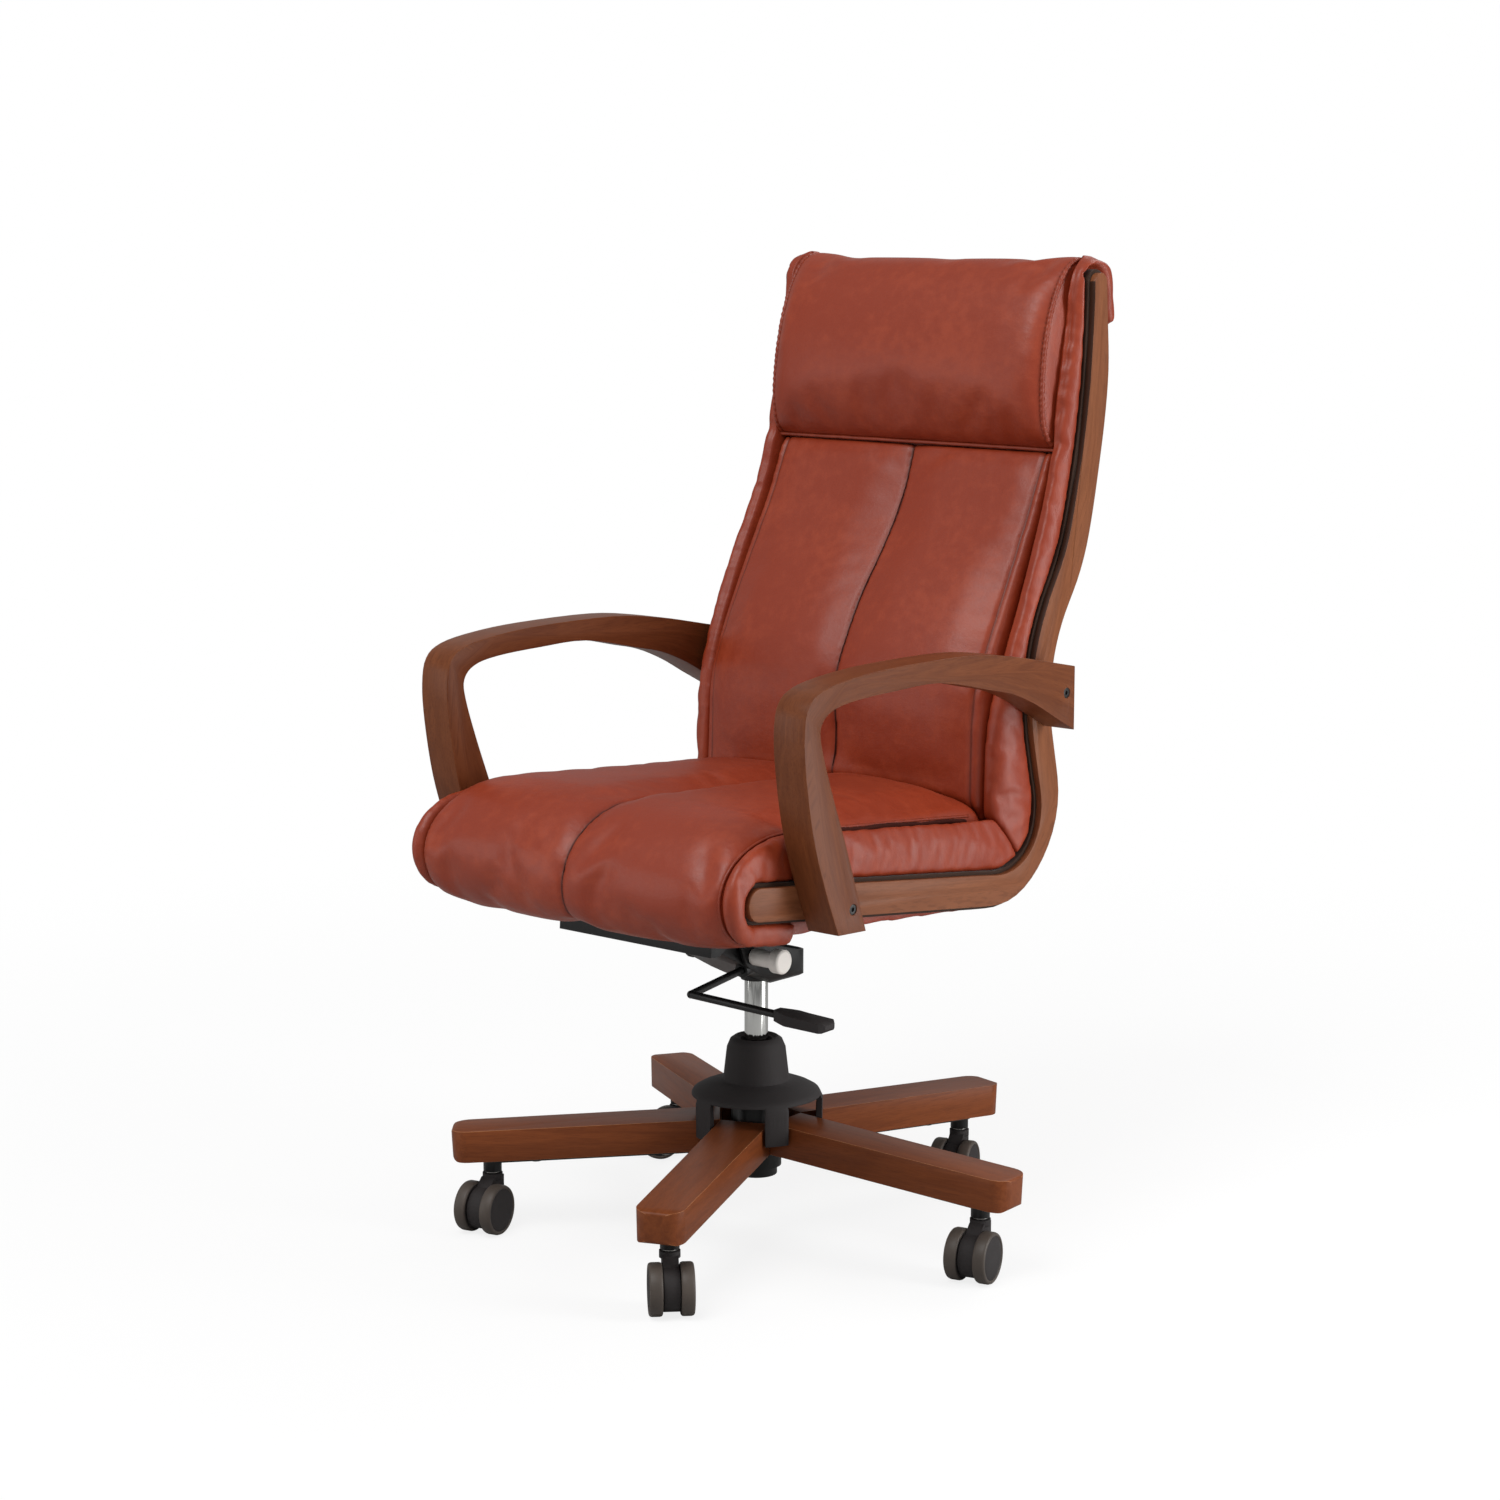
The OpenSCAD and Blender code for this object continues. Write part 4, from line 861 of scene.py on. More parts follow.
@dataclass
class Pad:
    """One stuffed piece: its CAD solid rounded, filled by a cloth simulation and sewn down.

    The skin is loose by a share of its size, and the filling moves no point by more than cap. Each round of
    ease evens out the solid's edges, and each round of calm the wrinkles of the filling.
    """

    node: str
    name: str
    seams: Measure
    sewn: Measure
    pressure: float = 4.0
    cap: float = 7.0 * MM
    loose: float = 0.02
    voxel: float = 5.0 * MM
    ease: int = 6
    calm: int = 6
    obj: Object = field(init=False)
    start: Array = field(init=False)

    def shape(self, neighbours: BVHTree) -> None:
        """Makes the rounded shape and sets up its filling.

        Args:
            neighbours: the surfaces that the pad is held by.
        """
        obj = self.obj = copied(self.node, self.name, 0)
        mesher = obj.modifiers.new("even", "REMESH")
        mesher.mode = "VOXEL"
        mesher.voxel_size = self.voxel
        baked(obj)
        mesh = obj.data
        move(mesh, eased(mesh, coordinates(mesh), self.ease))
        self.start = coordinates(mesh)
        held = self.held(neighbours)
        group = obj.vertex_groups.new(name="held")
        for tenths in range(1, 11):
            chosen = np.nonzero((held > tenths / 10 - 0.05) & (held <= tenths / 10 + 0.05))[0]
            group.add(chosen.tolist(), tenths / 10, "REPLACE")
        cloth = obj.modifiers.new("fill", "CLOTH")
        for name, value in CLOTH.items():
            setattr(cloth.settings, name, value)
        cloth.settings.uniform_pressure_force = self.pressure
        cloth.settings.shrink_min = -self.loose
        cloth.settings.effector_weights.gravity = 0
        cloth.collision_settings.use_collision = False
        cloth.collision_settings.use_self_collision = False

    def held(self, neighbours: BVHTree) -> Array:
        """Finds how firmly each point is held.

        Args:
            neighbours: the surfaces that the pad is held by.

        Returns:
            1 where a point lies against a neighbour or along a seam, 0 where it is free.
        """
        touching, free = 3 * MM, 12 * MM
        gaps = np.array([neighbours.find_nearest(Vector(p))[3] or 1.0 for p in self.start])
        firm = 1 - np.clip((gaps - touching) / (free - touching), 0, 1)
        return eased(self.obj.data, np.maximum(firm, self.sewn(self.start)), 2)

    def settle(self) -> None:
        """Keeps the filled shape, refines it and sews it down."""
        obj = self.obj
        if obj.modifiers:
            baked(obj)
            moved = coordinates(obj.data) - self.start
            far = np.linalg.norm(moved, axis=1)
            share = np.minimum(1, self.cap / far.clip(1e-9))
            moved = eased(obj.data, moved * share[:, None], self.calm)
            move(obj.data, self.start + moved)
        finer = obj.modifiers.new("finer", "SUBSURF")
        finer.levels = finer.render_levels = 1
        baked(obj)
        self.sew_down()
        move(obj.data, self.drawn(coordinates(obj.data)))
        obj.data.shade_smooth()

    def sew_down(self) -> None:
        """Presses the seams in, and stores where they are for the leather, and where the creases are, which
        the leather darkens as painted shade.
        """
        seam_depth, seam_width, slight, full = 2.2 * MM, 3.2 * MM, 0.15 * MM, 1.05 * MM
        mesh = self.obj.data
        places, normals = coordinates(mesh), coordinates(mesh, "normal")
        lines = self.seams(places)
        depth = seam_depth * np.exp(-(np.abs(lines).min(1) / seam_width) ** 2)
        move(mesh, places - normals * depth[:, None])
        store(mesh, "seam", lines)
        # How deep each point lies in a hollow; the leather darkens there as painted shade.
        hollow = eased(mesh, coordinates(mesh), 6) - coordinates(mesh)
        sunk = (hollow * normals).sum(1)
        store(mesh, "crease", eased(mesh, np.clip((sunk - slight) / (full - slight), 0, 1), 1))

    def drawn(self, places: Array) -> Array:
        """Draws the piece over its neighbours.

        Args:
            places: its points.

        Returns:
            The moved points.
        """
        if "side" in self.node:
            return leaned((back_roll if "back" in self.node else seat_roll)(places))
        if self.node == "back_cushion":
            return narrowed(places)
        return places


def sideways(places: Array, far: Array) -> Array:
    """Moves places away from the chair's middle.

    Args:
        places: the places.
        far: how far each moves.

    Returns:
        The moved places.
    """
    moved = places.copy()
    moved[:, 0] += np.sign(places[:, 0]) * far
    return moved


def narrowed(places: Array) -> Array:
    """Draws the back pad's sides in a little towards the headrest."""
    upper = step(places[:, 2], 0.70, 0.90) * step(np.abs(places[:, 0]), 0.10, BACK_HALF)
    return sideways(places, -4 * MM * upper)


def back_roll(places: Array) -> Array:
    """Rounds the roll beside the back pad and the headrest, with a valley along the pads.

    Args:
        places: points of a side panel of the back.

    Returns:
        The moved points.
    """
    found = LINE.locate(places[:, 1:], LINE.bend_end - 0.16, LINE.length + 0.04)
    wide, high = np.abs(places[:, 0]), places[:, 2]
    front = step(found[:, 1], -20 * MM, 2 * MM) * step(high, 0.60, 0.72)
    beside_head = step(found[:, 0], LINE.seam - 5 * MM, LINE.seam + 25 * MM)
    back_valley = 10 * MM * (1 - step(wide, 0.2145, 0.2220))
    head_valley = 24 * MM * (1 - step(wide, 0.2080, 0.2240))
    valley = (1 - beside_head) * back_valley + beside_head * head_valley
    swell = 3.5 * MM * np.exp(-((wide - 0.233) / 0.006) ** 2)
    rear = step(-found[:, 1], 20 * MM, 44 * MM) * step(high, 0.94, 1.10)
    moved = sideways(places, 4 * MM * rear)
    moved[:, 1] += front * (valley - swell) + 7 * MM * rear
    moved[:, 2] += 5 * MM * step(high, 1.08, 1.13)
    return moved


def seat_roll(places: Array) -> Array:
    """Rounds the roll beside the seat pad, which tucks in under the pad's edge.

    Args:
        places: points of a side panel of the seat.

    Returns:
        The moved points.
    """
    under_pad = (1 - step(np.abs(places[:, 0]), 0.2190, 0.2350)) * step(places[:, 2], 0.495, 0.512)
    moved = places.copy()
    moved[:, 2] -= 13 * MM * under_pad * step(places[:, 1], -0.20, -0.15)
    return moved


def leaned(places: Array) -> Array:
    """Draws the side assemblies in a little towards the top of the back.

    Args:
        places: points of a side piece.

    Returns:
        The moved points.
    """
    up = step(places[:, 2], 0.74, 0.92) * 0.8 + step(places[:, 2], 1.0, 1.09) * 0.2
    outer = np.clip((np.abs(places[:, 0]) - 0.196) / 0.034, 0, 1)
    return sideways(places, -SIDE_LEAN * up * outer)


def none_sewn(places: Array) -> Array:
    """No seam holds the piece down."""
    return np.zeros(len(places))


def no_seams(places: Array) -> Array:
    """No sewn lines."""
    return np.ones((len(places), 3))


def seat_half(y: Array) -> Array:
    """Half the seat pad's width at a distance from front to rear."""
    return SEAT_HALF + (BACK_HALF - SEAT_HALF) * step(y, -0.280, 0.140)


def drift(places: Array, size: float) -> Array:
    """A slow wander of a sewn line along the chair."""
    along = places[:, 1] * 0.7 + places[:, 2]
    return size * (np.sin(along * 23.0) + 0.6 * np.sin(along * 51.0 + 1.3))


def centre_sewn(places: Array) -> Array:
    """The centre seam holds the pads down."""
    return 1 - np.clip((np.abs(places[:, 0]) - 4 * MM) / (6 * MM), 0, 1)


def seat_seams(places: Array) -> Array:
    """Signed distances to the seat pad's sewn lines."""
    none = np.ones(len(places))
    return np.column_stack([places[:, 0] + drift(places, 0.5 * MM), none, none])


def back_seams(places: Array) -> Array:
    """Signed distances to the back pad's sewn lines."""
    away = np.abs(places[:, 0]) - BACK_HALF
    middle = places[:, 0] + drift(places, 0.9 * MM)
    return np.column_stack([middle, away + 12 * MM, np.ones(len(places))])


def head_end(side: int, inward: float = 0.0) -> Array:
    """The edge of one of the headrest's ends.

    Args:
        side: 1 for the left end, -1 for the right.
        inward: how far inside the edge.

    Returns:
        Points along it, from the seam over the top.
    """
    high, over = 54 * MM, LINE.length - LINE.seam
    path = through([
        (0, 22 * MM), (10 * MM, 0.68 * high), (34 * MM, 0.9 * high), (74 * MM, high),
        (115 * MM, 0.98 * high), (over - 48 * MM, 0.86 * high), (over - 12 * MM, 0.62 * high),
        (over + 16 * MM, 0.26 * high), (over + 30 * MM, -8 * MM), (over + 27 * MM, -30 * MM)])
    draw = 9 * MM * np.sin(np.linspace(0, 0.92 * math.pi, len(path))) ** 0.8
    x = side * (BACK_HALF - 0.5 * MM - inward - draw)
    yz = np.array([LINE.at(LINE.seam + s, n) for s, n in path])
    return np.column_stack([x, yz])


def on_seat(sn: Array) -> Array:
    """Turns places along and above the seat's line, in millimetres, into Y and Z in metres."""
    angle = -math.radians(LINE.fall)
    cos, sin = math.cos(angle), math.sin(angle)
    return np.array(LINE.start) + sn * MM @ np.array([[cos, sin], [-sin, cos]])


def seat_profile() -> tuple[Array, Array]:
    """The seat pad's side view, from the rear over the nose, and the core that it goes round.

    The top falls to the nose, a quarter of an ellipse, and a second quarter turns in under the seat.

    Returns:
        Points of the side view and of the core, as many of each, in Y and Z.
    """
    rear, rear_high, nose_high, middle = 405, 83.5, 76, 5  # millimetres along and above the seat's line
    nose_at, nose_reach, turn_at, turn_reach, turn_deep = 74, 117, 15, 58, 55
    quarter = np.linspace(0, math.pi / 2, 14)
    top = np.column_stack([np.linspace(rear, nose_at, 30), np.linspace(rear_high, nose_high, 30)])
    nose = np.column_stack([
        nose_at - nose_reach * np.sin(quarter), middle + (nose_high - middle) * np.cos(quarter)])
    turn = np.column_stack([turn_at - turn_reach * np.cos(quarter), middle - turn_deep * np.sin(quarter)])
    forward = np.linspace(nose_at - 2, turn_at + 2, 13)
    along = np.concatenate([top[:, 0], forward, np.full(13, turn_at)])
    core = np.column_stack([along, np.full(len(along), middle)])
    return on_seat(np.vstack([top, nose[1:], turn[1:]])), on_seat(core)


def seat_end(side: int) -> Array:
    """The edge of one of the seat pad's sides, from the rear over the nose."""
    yz = seat_profile()[0]
    return np.column_stack([side * (seat_half(yz[:, 0]) - 0.5 * MM), yz])


def tuck(side: int) -> Array:
    """The path of a dark cord that is painted shadow in the deep fold between the seat pad and the roll
    under its edge.

    Args:
        side: 1 for the left side, -1 for the right.

    Returns:
        Points along it, from the rear to the front.
    """
    front, rear, nose_top = -0.165, 0.122, 0.48
    y, z = seat_profile()[0].T
    kept = (y > front) & (y < rear) & (z > nose_top)
    y, z = y[kept], z[kept] - 5.0 * MM
    out = np.linspace(1.5 * MM, 1.0 * MM, len(y))
    return np.column_stack([side * (seat_half(y) + out), y, z - 0.8 * MM * np.sin(y * 60)])


def seat_middle(cover: Object) -> Array:
    """The seat pad's centre seam, over its nose."""
    edge, core = seat_profile()
    outer, inner = (np.column_stack([np.zeros(len(e)), e]) for e in (core + (edge - core) * 1.6, core))
    outer[:, 0] = inner[:, 0] = -drift(np.column_stack([edge[:, 0], edge]), 0.5 * MM)
    return dropped(outer, inner, cover)


def back_middle(cover: Object) -> Array:
    """The back pad's centre seam."""
    along = np.linspace(LINE.bend_end - 30 * MM, LINE.seam - 3 * MM, 70)
    outer, inner = (np.array([[0.0, *LINE.at(s, n)] for s in along]) for n in (0.110, 0.0))
    outer[:, 0] = inner[:, 0] = -drift(outer, 0.9 * MM)
    return dropped(outer, inner, cover)


def head_seam() -> Array:
    """The seam under the headrest, from side to side."""
    x = np.linspace(-BACK_HALF + 2 * MM, BACK_HALF - 2 * MM, 90)
    high = 22.6 * MM + 2.5 * MM * (1 - (x / BACK_HALF) ** 4) + 0.5 * MM * np.sin(x * 90)
    yz = np.array([LINE.at(LINE.seam - 0.3 * MM, n) for n in high])
    return np.column_stack([x, yz])


def cover_underside(obj: Object) -> None:
    """Gives the seat's underside its dust cover."""
    rear, top = 0.14, 0.46
    for face in obj.data.polygons:
        if face.normal.z < -0.75 and face.center.y < rear and face.center.z < top:
            face.material_index = 1


@dataclass
class Upholstery:
    """Pads, side panels, covered frame, piping and stitches.

    A cord's size is its radius. Dark cords lie in the folds under the seat pad's edges as painted shadow;
    the thicker ones run from the front as far as deep_shadow_end.
    """

    body: str = "seat"
    soft: tuple[str, ...] = (
        "seat_cushion", "back_cushion", "headrest", "seat_side_left", "seat_side_right", "back_side_left",
        "back_side_right", "frame_shell", "lining_left", "lining_right")
    head_piping: float = 2.9 * MM
    head_welt: float = 2.3 * MM
    seat_piping: float = 2.0 * MM
    # Radii of the dark cords that are painted shadow in the folds under the seat pad's edges.
    tuck_shadow_radius: float = 2.6 * MM
    deep_shadow_radius: float = 4.0 * MM
    centre_seam: float = 0.8 * MM
    deep_shadow_end: float = 0.03
    stitch_inset: float = 5 * MM
    pads: list[Pad] = field(init=False)

    def __post_init__(self) -> None:
        """Lists the pads."""
        self.pads = [
            Pad("seat_cushion", "seat_pad", seat_seams, centre_sewn,
                pressure=5.0, cap=8 * MM, loose=0.025, calm=7),
            Pad("back_cushion", "back_pad", back_seams, centre_sewn, loose=0.015, calm=12),
            Pad("headrest", "head_pad", no_seams, none_sewn, pressure=4.5, loose=0.025, calm=8),
            Pad("frame_shell", "covered_frame", no_seams, none_sewn,
                pressure=2.0, cap=5 * MM, loose=0.01, voxel=6 * MM, ease=4),
        ]
        for side in ("left", "right"):
            for part in ("seat", "back"):
                self.pads.append(Pad(
                    f"{part}_side_{side}", f"{part}_panel_{side}", no_seams, none_sewn,
                    cap=6 * MM, loose=0.03, voxel=4 * MM, ease=5, calm=3))

    def cord(self, name: str, paths: Sequence[Array], finish: Finish, **sizes: float) -> None:
        """Sews a cord on.

        Args:
            name: the piece's name.
            paths: its runs.
            finish: its finish.
            sizes: the cord's sizes, by their names in the tree.
        """
        made = piping_tree(finish).run(curve_of(name, paths), sizes)
        dressed(made, self.body, [], [finish])

    def sew(self) -> None:
        """Adds the cords and the stitches."""
        by_node = {pad.node: pad.obj for pad in self.pads}
        head, seat, sides = by_node["headrest"], by_node["seat_cushion"], (1, -1)
        head_ends = [laid(head_end(side), head, 0.6 * MM) for side in sides]
        self.cord("head_piping", head_ends, Finish.PIPING, Radius=self.head_piping, Gathers=0.14)
        self.cord("head_welt", [head_seam()], Finish.PIPING, Radius=self.head_welt)
        seat_ends = [laid(seat_end(side), seat, -0.3 * MM) for side in sides]
        self.cord("seat_piping", seat_ends, Finish.PIPING, Radius=self.seat_piping, Gathers=0.06)
        # Dark cords as painted shadow in the folds under the seat pad's edges, thicker towards the front.
        tucks = [tuck(side) for side in sides]
        self.cord("tuck_shadow_cords", tucks, Finish.SEAM, Radius=self.tuck_shadow_radius, Wobble=0.2)
        deep = [points[points[:, 1] < self.deep_shadow_end] for points in tucks]
        self.cord("deep_tuck_shadow_cords", deep, Finish.SEAM, Radius=self.deep_shadow_radius, Wobble=0.2)
        # Dark cords along the centre seams: the seams' dark line, deepened by painted shade in their
        # grooves.
        middles = [back_middle(by_node["back_cushion"]), seat_middle(seat)]
        self.cord("centre_seams", middles, Finish.SEAM, Radius=self.centre_seam, Wobble=0.1)
        lines = [laid(head_end(side, self.stitch_inset), head, 0.1 * MM) for side in sides]
        stitches = stitch_tree().run(curve_of("head_stitches", lines), {})
        dressed(stitches, self.body, [], [Finish.THREAD])

    def neighbours(self, own: str) -> BVHTree:
        """The surfaces that a pad lies against.

        Args:
            own: the pad's node.

        Returns:
            The surfaces of the other upholstered nodes.
        """
        points: list[Vector] = []
        faces: list[tuple[int, ...]] = []
        for node in self.soft:
            if node == own:
                continue
            mesh = bpy.data.objects[node].data
            base = len(points)
            points.extend(v.co.copy() for v in mesh.vertices)
            faces.extend(tuple(base + i for i in p.vertices) for p in mesh.polygons)
        return BVHTree.FromPolygons(points, faces)

    def build(self) -> None:
        """Makes the pads, then what is sewn on them."""
        for pad in self.pads:
            pad.shape(self.neighbours(pad.node))
        for frame in range(1, LAST_FRAME + 1):
            bpy.context.scene.frame_set(frame)
        for pad in self.pads:
            pad.settle()
        bpy.context.scene.frame_set(1)
        for pad in self.pads:
            finishes = [Finish.LEATHER]
            if pad.node == "frame_shell":
                finishes.append(Finish.DUST_COVER)
                cover_underside(pad.obj)
            dressed(pad.obj, self.body, [pad.node], finishes)
        self.sew()


@dataclass(frozen=True)
class Rigid:
    """One hard piece that keeps its CAD shape with its edges rounded."""

    node: str
    name: str
    body: str
    finish: Finish
    edge: float = 0.6 * MM
    steps: int = 2

    def build(self) -> None:
        """Copies, rounds and dresses the piece; its slot is called as its finish."""
        piece = copied(self.node, self.name)
        rounded(piece, self.edge, self.steps)
        dressed(piece, self.body, [self.node], [self.finish])


@dataclass
class SideTrim:
    """Dark linings and bentwood strips along both sides.

    Between the two heights of darkened_span, the front edge of a strip is dark.
    """

    lining_edge: float = 2.0 * MM
    strip_edge: float = 1.6 * MM
    darkened_span: tuple[float, float] = (0.62, 1.12)

    def build(self) -> None:
        """Rounds and dresses both sides."""
        for side in ("left", "right"):
            lining = copied(f"lining_{side}", f"felt_{side}")
            rounded(lining, self.lining_edge, 3)
            move(lining.data, leaned(coordinates(lining.data)))
            dressed(lining, "seat", [f"lining_{side}"], [Finish.LINING])
            strip = copied(f"side_strip_{side}", f"bentwood_{side}")
            rounded(strip, self.strip_edge)
            places = coordinates(strip.data)
            store(strip.data, "grain", self.grain(places))
            self.mark_edge(strip.data)
            move(strip.data, leaned(places))
            dressed(strip, "seat", [f"side_strip_{side}"], [Finish.STRIP_WOOD, Finish.DARK_EDGE])

    def mark_edge(self, mesh: Mesh) -> None:
        """Gives a strip's narrow front edge along the back a dark colour."""
        low, high = self.darkened_span
        for face in mesh.polygons:
            face.material_index = int(face.normal.y < -0.8 and low < face.center.z < high)

    @staticmethod
    def grain(places: Array) -> Array:
        """Coordinates along, across and through the bent strip."""
        found = LINE.locate(places[:, 1:], -0.02, LINE.length + 0.02)
        return np.column_stack([found, places[:, 0]])


@dataclass
class Arms:
    """Sawn armrests with their bolts; path is the middle of an arm in the side view, in Y and Z."""

    edge: float = 4.0 * MM
    path: tuple[tuple[float, float], ...] = (
        (-0.160, 0.430), (-0.190, 0.520), (-0.222, 0.610), (-0.235, 0.660), (-0.205, 0.695), (-0.120, 0.706),
        (0.000, 0.706), (0.090, 0.690), (0.170, 0.660), (0.220, 0.640))

    def build(self) -> None:
        """Rounds and dresses both arms and their bolts."""
        for side in ("left", "right"):
            arm = copied(f"arm_{side}", f"armrest_{side}")
            rounded(arm, self.edge, 4)
            store(arm.data, "grain", self.grain(coordinates(arm.data)))
            dressed(arm, "seat", [f"arm_{side}"], [Finish.ARM_WOOD])
        Rigid("arm_bolts", "arm_bolt_caps", "seat", Finish.BLACK_STEEL, 0.5 * MM).build()

    def grain(self, places: Array) -> Array:
        """Lays the grain along the sawn arm.

        Args:
            places: points of the arm.

        Returns:
            For each of them, how far it is along, across and through the arm.
        """
        path = np.array(self.path)
        lengths = np.concatenate([[0], np.cumsum(np.linalg.norm(np.diff(path, axis=0), axis=1))])
        fine = np.linspace(0, lengths[-1], 160)
        spots = np.column_stack([np.interp(fine, lengths, path[:, k]) for k in range(2)])
        slope = np.gradient(spots, axis=0)
        slope /= np.linalg.norm(slope, axis=1)[:, None]
        best = nearest(places[:, 1:], spots)
        away = places[:, 1:] - spots[best]
        along = fine[best] + (away * slope[best]).sum(1)
        across = away[:, 0] * -slope[best, 1] + away[:, 1] * slope[best, 0]
        return np.column_stack([along, across, places[:, 0]])


@dataclass
class Base:
    """Wooden legs on their black straps, with the moulded cover over the hub.

    The first leg stands at turn degrees from X, and each next one apart degrees further on.
    """

    turn: float = 221.2
    apart: float = 72.0
    edge: float = 1.7 * MM

    def build(self) -> None:
        """Rounds and dresses the legs, the steel star, the screws and the cover."""
        for number in range(1, 6):
            leg = copied(f"base_leg_{number}", f"leg_{number}")
            for finish in (Finish.LEG_WOOD, Finish.EDGE_HIGHLIGHT_AND_WEAR):
                leg.data.materials.append(finish.material)
            # The rounding's faces take the pale edge colour: painted highlight along the edges, together
            # with wear.
            rounded(leg, self.edge, slot=1)
            angle = math.radians(self.turn + self.apart * (number - 1))
            places = coordinates(leg.data)
            along = places[:, 0] * math.cos(angle) + places[:, 1] * math.sin(angle)
            across = places[:, 1] * math.cos(angle) - places[:, 0] * math.sin(angle)
            store(leg.data, "grain", np.column_stack([along + number, across, places[:, 2]]))
            dressed(leg, "base", [f"base_leg_{number}"], [Finish.LEG_WOOD, Finish.EDGE_HIGHLIGHT_AND_WEAR])
        Rigid("base_frame", "steel_star", "base", Finish.BLACK_STEEL, 0.7 * MM).build()
        Rigid("leg_screws", "leg_screw_heads", "base", Finish.BRIGHT_STEEL, 0.3 * MM, 1).build()
        Rigid("hub_cover", "moulded_cover", "base", Finish.BLACK_PLASTIC, 1.4 * MM, 3).build()


@dataclass
class Casters:
    """Five casters, each with two wheels, whose tread starts tread_from away from the axle."""

    tread_from: float = 25.2 * MM
    edge: float = 0.5 * MM

    def build(self, joints: Sequence[dict[str, Any]]) -> None:
        """Rounds and dresses the casters.

        Args:
            joints: the record's joints, which say where each wheel turns.
        """
        Rigid("caster_stems", "caster_stem_pins", "base", Finish.BRIGHT_STEEL, 0.5 * MM, 1).build()
        rolls = [j for j in joints if "roll" in j["name"]]
        spots = {j["child"]: (np.array(j["pos_m"]), np.array(j["axis"])) for j in rolls}
        for number in range(1, 6):
            body = f"caster_{number}"
            Rigid(f"{body}_body", f"caster_hood_{number}", body, Finish.BLACK_PLASTIC, 1.0 * MM).build()
            Rigid(f"{body}_axle", f"caster_pin_{number}", body, Finish.BRIGHT_STEEL, 0.3 * MM, 1).build()
            for side in "ab":
                node = f"{body}_wheel_{side}"
                wheel = copied(node, f"wheel_{number}{side}")
                rounded(wheel, self.edge)
                centre, axis = spots[node]
                for face in wheel.data.polygons:
                    away = np.array(face.center) - centre
                    off = np.linalg.norm(away - axis * float(away @ axis))
                    face.material_index = int(off > self.tread_from)
                dressed(wheel, node, [node], [Finish.BLACK_PLASTIC, Finish.TREAD])


@dataclass
class Mechanism:
    """Gas column, tilt housing, bracket, knob and release lever."""

    parts: tuple[Rigid, ...] = (
        Rigid("column_tube", "outer_tube", "base", Finish.BLACK_STEEL),
        Rigid("column_guide", "guide_bush", "base", Finish.BLACK_PLASTIC),
        Rigid("column_clip", "foot_clip", "base", Finish.BRIGHT_STEEL, 0.2 * MM),
        Rigid("piston_rod", "gas_rod", "spindle", Finish.BRIGHT_STEEL),
        Rigid("thrust_bearing", "bearing_stack", "spindle", Finish.BRIGHT_STEEL, 0.3 * MM),
        Rigid("gas_cylinder", "chrome_cylinder", "carriage", Finish.CHROME, 0.5 * MM),
        Rigid("valve_button", "valve_pin", "button", Finish.RED_PLASTIC, 0.4 * MM),
        Rigid("tilt_housing", "tilt_pan", "carriage", Finish.BLACK_STEEL, 0.8 * MM),
        Rigid("tilt_shaft", "cross_shaft", "carriage", Finish.BRIGHT_STEEL),
        Rigid("tension_knob", "tension_grip", "knob", Finish.PALE_PLASTIC, 1.0 * MM),
        Rigid("gas_lever", "release_rod", "lever", Finish.BLACK_STEEL, 0.4 * MM),
        Rigid("lever_paddle", "release_paddle", "lever", Finish.BLACK_PLASTIC, 1.5 * MM),
        Rigid("seat_bracket", "seat_tray", "seat", Finish.BLACK_STEEL, 0.8 * MM),
        Rigid("bracket_bolts", "tray_bolts", "seat", Finish.BRIGHT_STEEL, 0.3 * MM),
    )
    coil_crease: float = 60.0

    def build(self) -> None:
        """Rounds and dresses the pieces, and gives the springs their steel."""
        for part in self.parts:
            part.build()
        springs = copied("tilt_springs", "spring_pair", 0)
        springs.data.shade_smooth()
        springs.data.set_sharp_from_angle(angle=math.radians(self.coil_crease))
        dressed(springs, "carriage", ["tilt_springs"], [Finish.BRIGHT_STEEL])


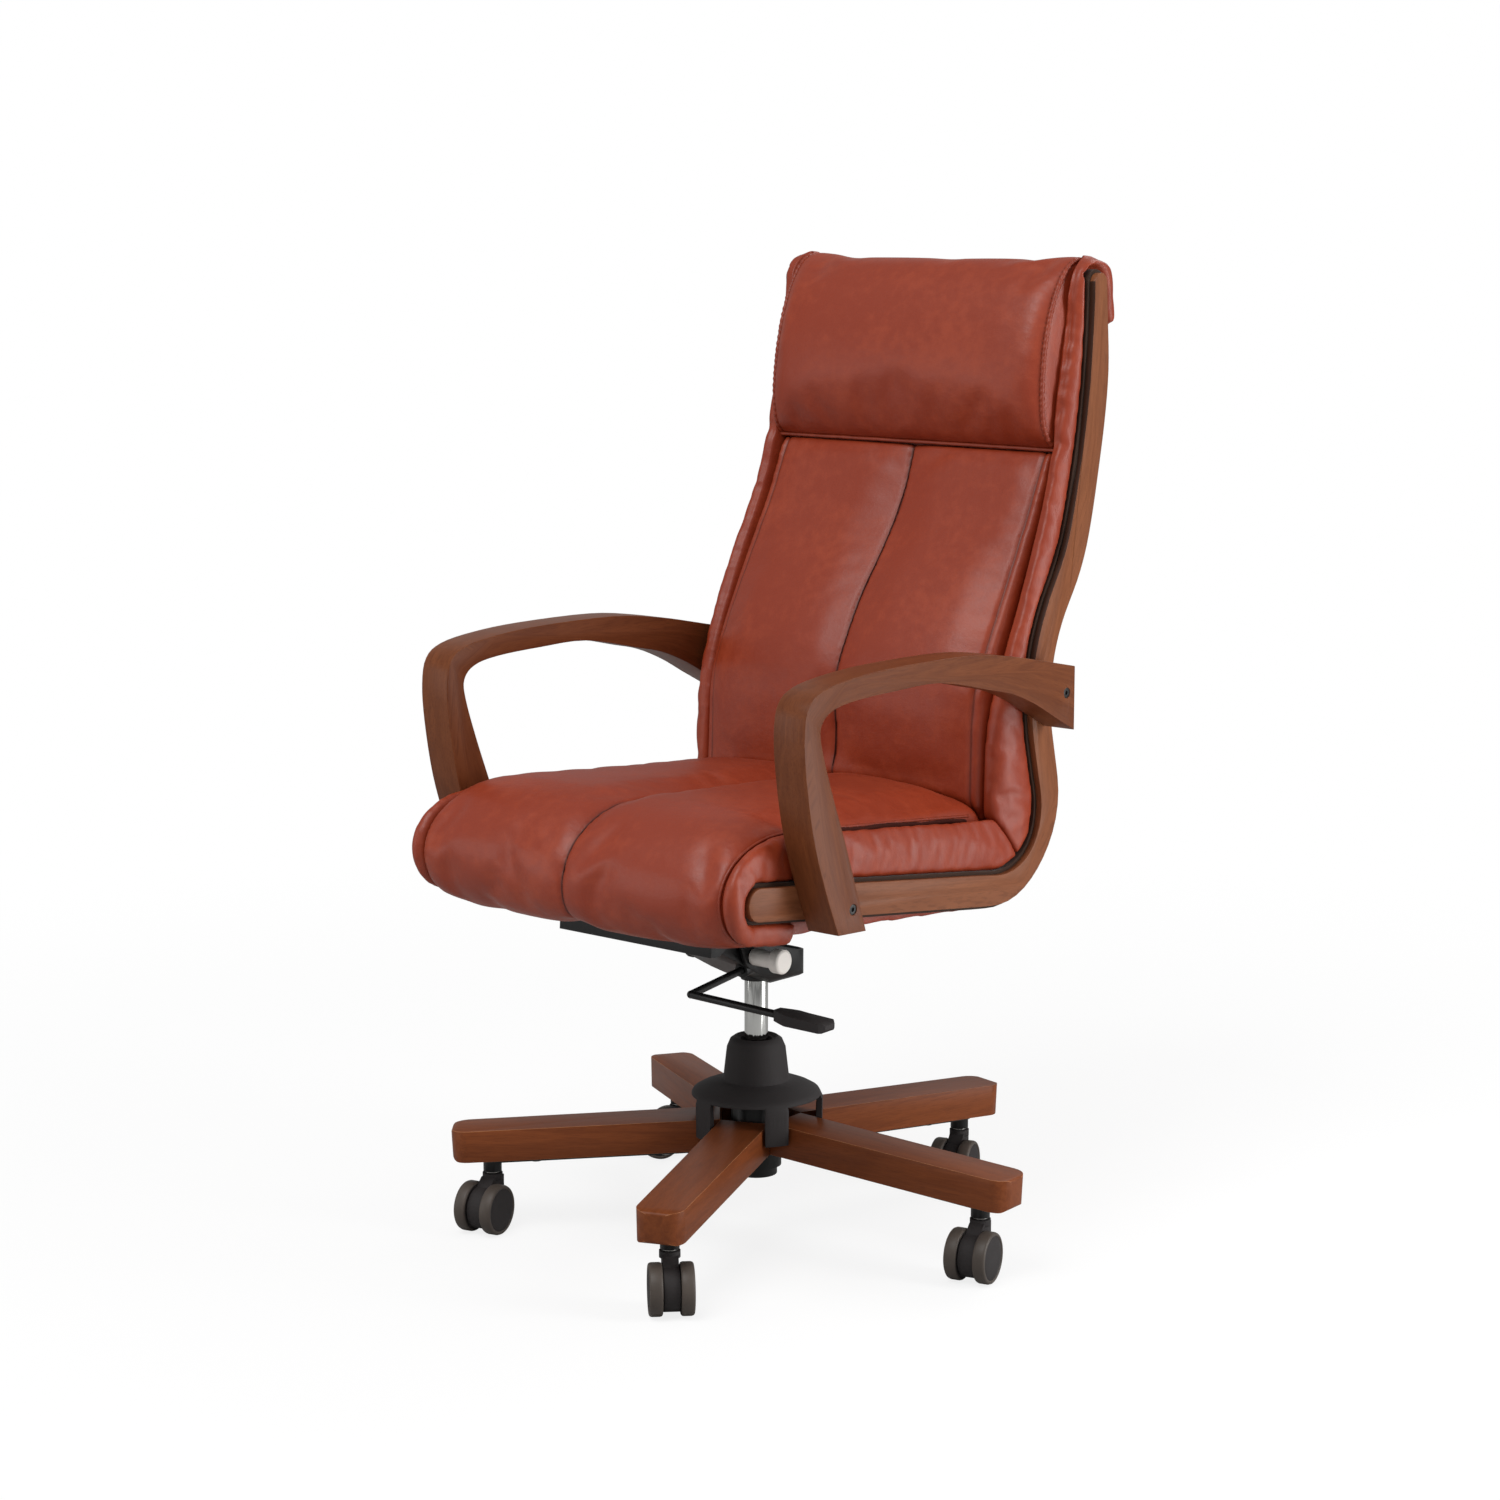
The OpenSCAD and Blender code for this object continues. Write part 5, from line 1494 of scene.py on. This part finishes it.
@dataclass
class Studio:
    """Camera at the photograph's place, soft lamps, a pale floor and a white surround.

    A lamp is its name, its place, its two sizes and its power in watts; all point at the chair's middle.
    The ambient light's strength is 1 where it would be white.
    """

    eye: tuple[float, float, float] = (2.54318, -2.93683, 1.22963)
    aim: tuple[float, float, float] = (-0.0098, 0.0, 0.5786)
    lens: float = 80.76
    middle: tuple[float, float, float] = (0.0, 0.0, 0.6)
    ambient: float = 0.38
    lamps: tuple[tuple[str, tuple[float, float, float], tuple[float, float], float], ...] = (
        ("key", (0.2, -2.1, 3.5), (2.0, 2.0), 80.0),
        ("left", (-1.9, -2.6, 0.9), (1.6, 1.4), 13.0),
        ("right", (2.5, 0.9, 1.4), (0.8, 2.0), 38.0),
        ("low", (1.30, 0.56, 0.26), (0.9, 0.5), 5.0),
        ("rim", (0.2, 2.6, 2.8), (1.8, 1.4), 22.0),
    )

    def build(self) -> None:
        """Sets up camera, lamps, floor and world."""
        view = bpy.data.cameras.new("photo_view")
        view.lens = self.lens
        view.sensor_width = 36.0
        view.clip_end = 50.0
        camera = self.aimed(add("photo_view", view), self.eye, self.aim)
        bpy.context.scene.camera = camera
        for name, place, size, power in self.lamps:
            lamp = bpy.data.lights.new(name, "AREA")
            lamp.shape = "RECTANGLE"
            lamp.size, lamp.size_y = size
            lamp.energy = power
            self.aimed(add(name, lamp), place, self.middle).visible_camera = False
        self.floor()
        self.surround()
        bpy.context.scene.view_settings.view_transform = "Standard"

    @staticmethod
    def aimed(obj: Object, place: Sequence[float], aim: Sequence[float]) -> Object:
        """Puts a camera or lamp in its place.

        Args:
            obj: the camera or lamp.
            place: where it stands.
            aim: what it points at.

        Returns:
            The same object.
        """
        obj.location = place
        obj.rotation_euler = (Vector(aim) - Vector(place)).to_track_quat("-Z", "Y").to_euler()
        return obj

    @staticmethod
    def floor() -> None:
        """A wide pale floor that shows shadows near the chair and fades into the white surround."""
        radius, shaded_to, plain_from, least = 14.0, 0.5, 2.4, 0.82
        shape = bmesh.new()
        bmesh.ops.create_circle(shape, cap_ends=True, segments=64, radius=radius)
        mesh = bpy.data.meshes.new("floor")
        shape.to_mesh(mesh)
        shape.free()
        floor = add("floor", mesh)
        p = Paint("pale_floor")
        grey = p.noise(p.place(), 3.0, 2.0)
        seen = p.node("ShaderNodeLightPath", out="Is Camera Ray")
        tone = p.blend(p.blend((0.44, 0.44, 0.44), (0.48, 0.48, 0.475), grey), (0.97, 0.97, 0.97), seen)
        shade = p.node("ShaderNodeBsdfPrincipled", inputs={
            "Base Color": tone, "Roughness": 0.8, "Specular IOR Level": 0.1})
        light = p.node("ShaderNodeEmission", inputs={"Color": WHITE, "Strength": 1.0})
        away = p.node("ShaderNodeVectorMath", {"operation": "LENGTH"}, {0: p.place()}, "Value")
        glow = away.rise(shaded_to, plain_from) * (1 - least) + least
        p.surface(p.node("ShaderNodeMixShader", inputs={0: seen * glow, 1: shade, 2: light}))
        mesh.materials.append(p.material)

    def surround(self) -> None:
        """White where the camera looks, a soft grey light elsewhere."""
        world = bpy.data.worlds.new("surround")
        bpy.context.scene.world = world
        world.use_nodes = True
        w = Tree(world.node_tree)
        seen = w.node("ShaderNodeLightPath", out="Is Camera Ray")
        ambient, white = (w.node("ShaderNodeBackground", inputs={"Color": WHITE, "Strength": level})
                          for level in (self.ambient, 1.0))
        both = w.node("ShaderNodeMixShader", inputs={0: seen, 1: ambient, 2: white})
        w.output("ShaderNodeOutputWorld", both)


def main() -> None:
    """Builds the chair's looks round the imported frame."""
    logging.basicConfig(level=logging.INFO, format="%(message)s")
    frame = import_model()
    Studio().build()
    Upholstery().build()
    SideTrim().build()
    Arms().build()
    Base().build()
    Casters().build(frame["joints"])
    Mechanism().build()


if __name__ == "__main__":
    main()
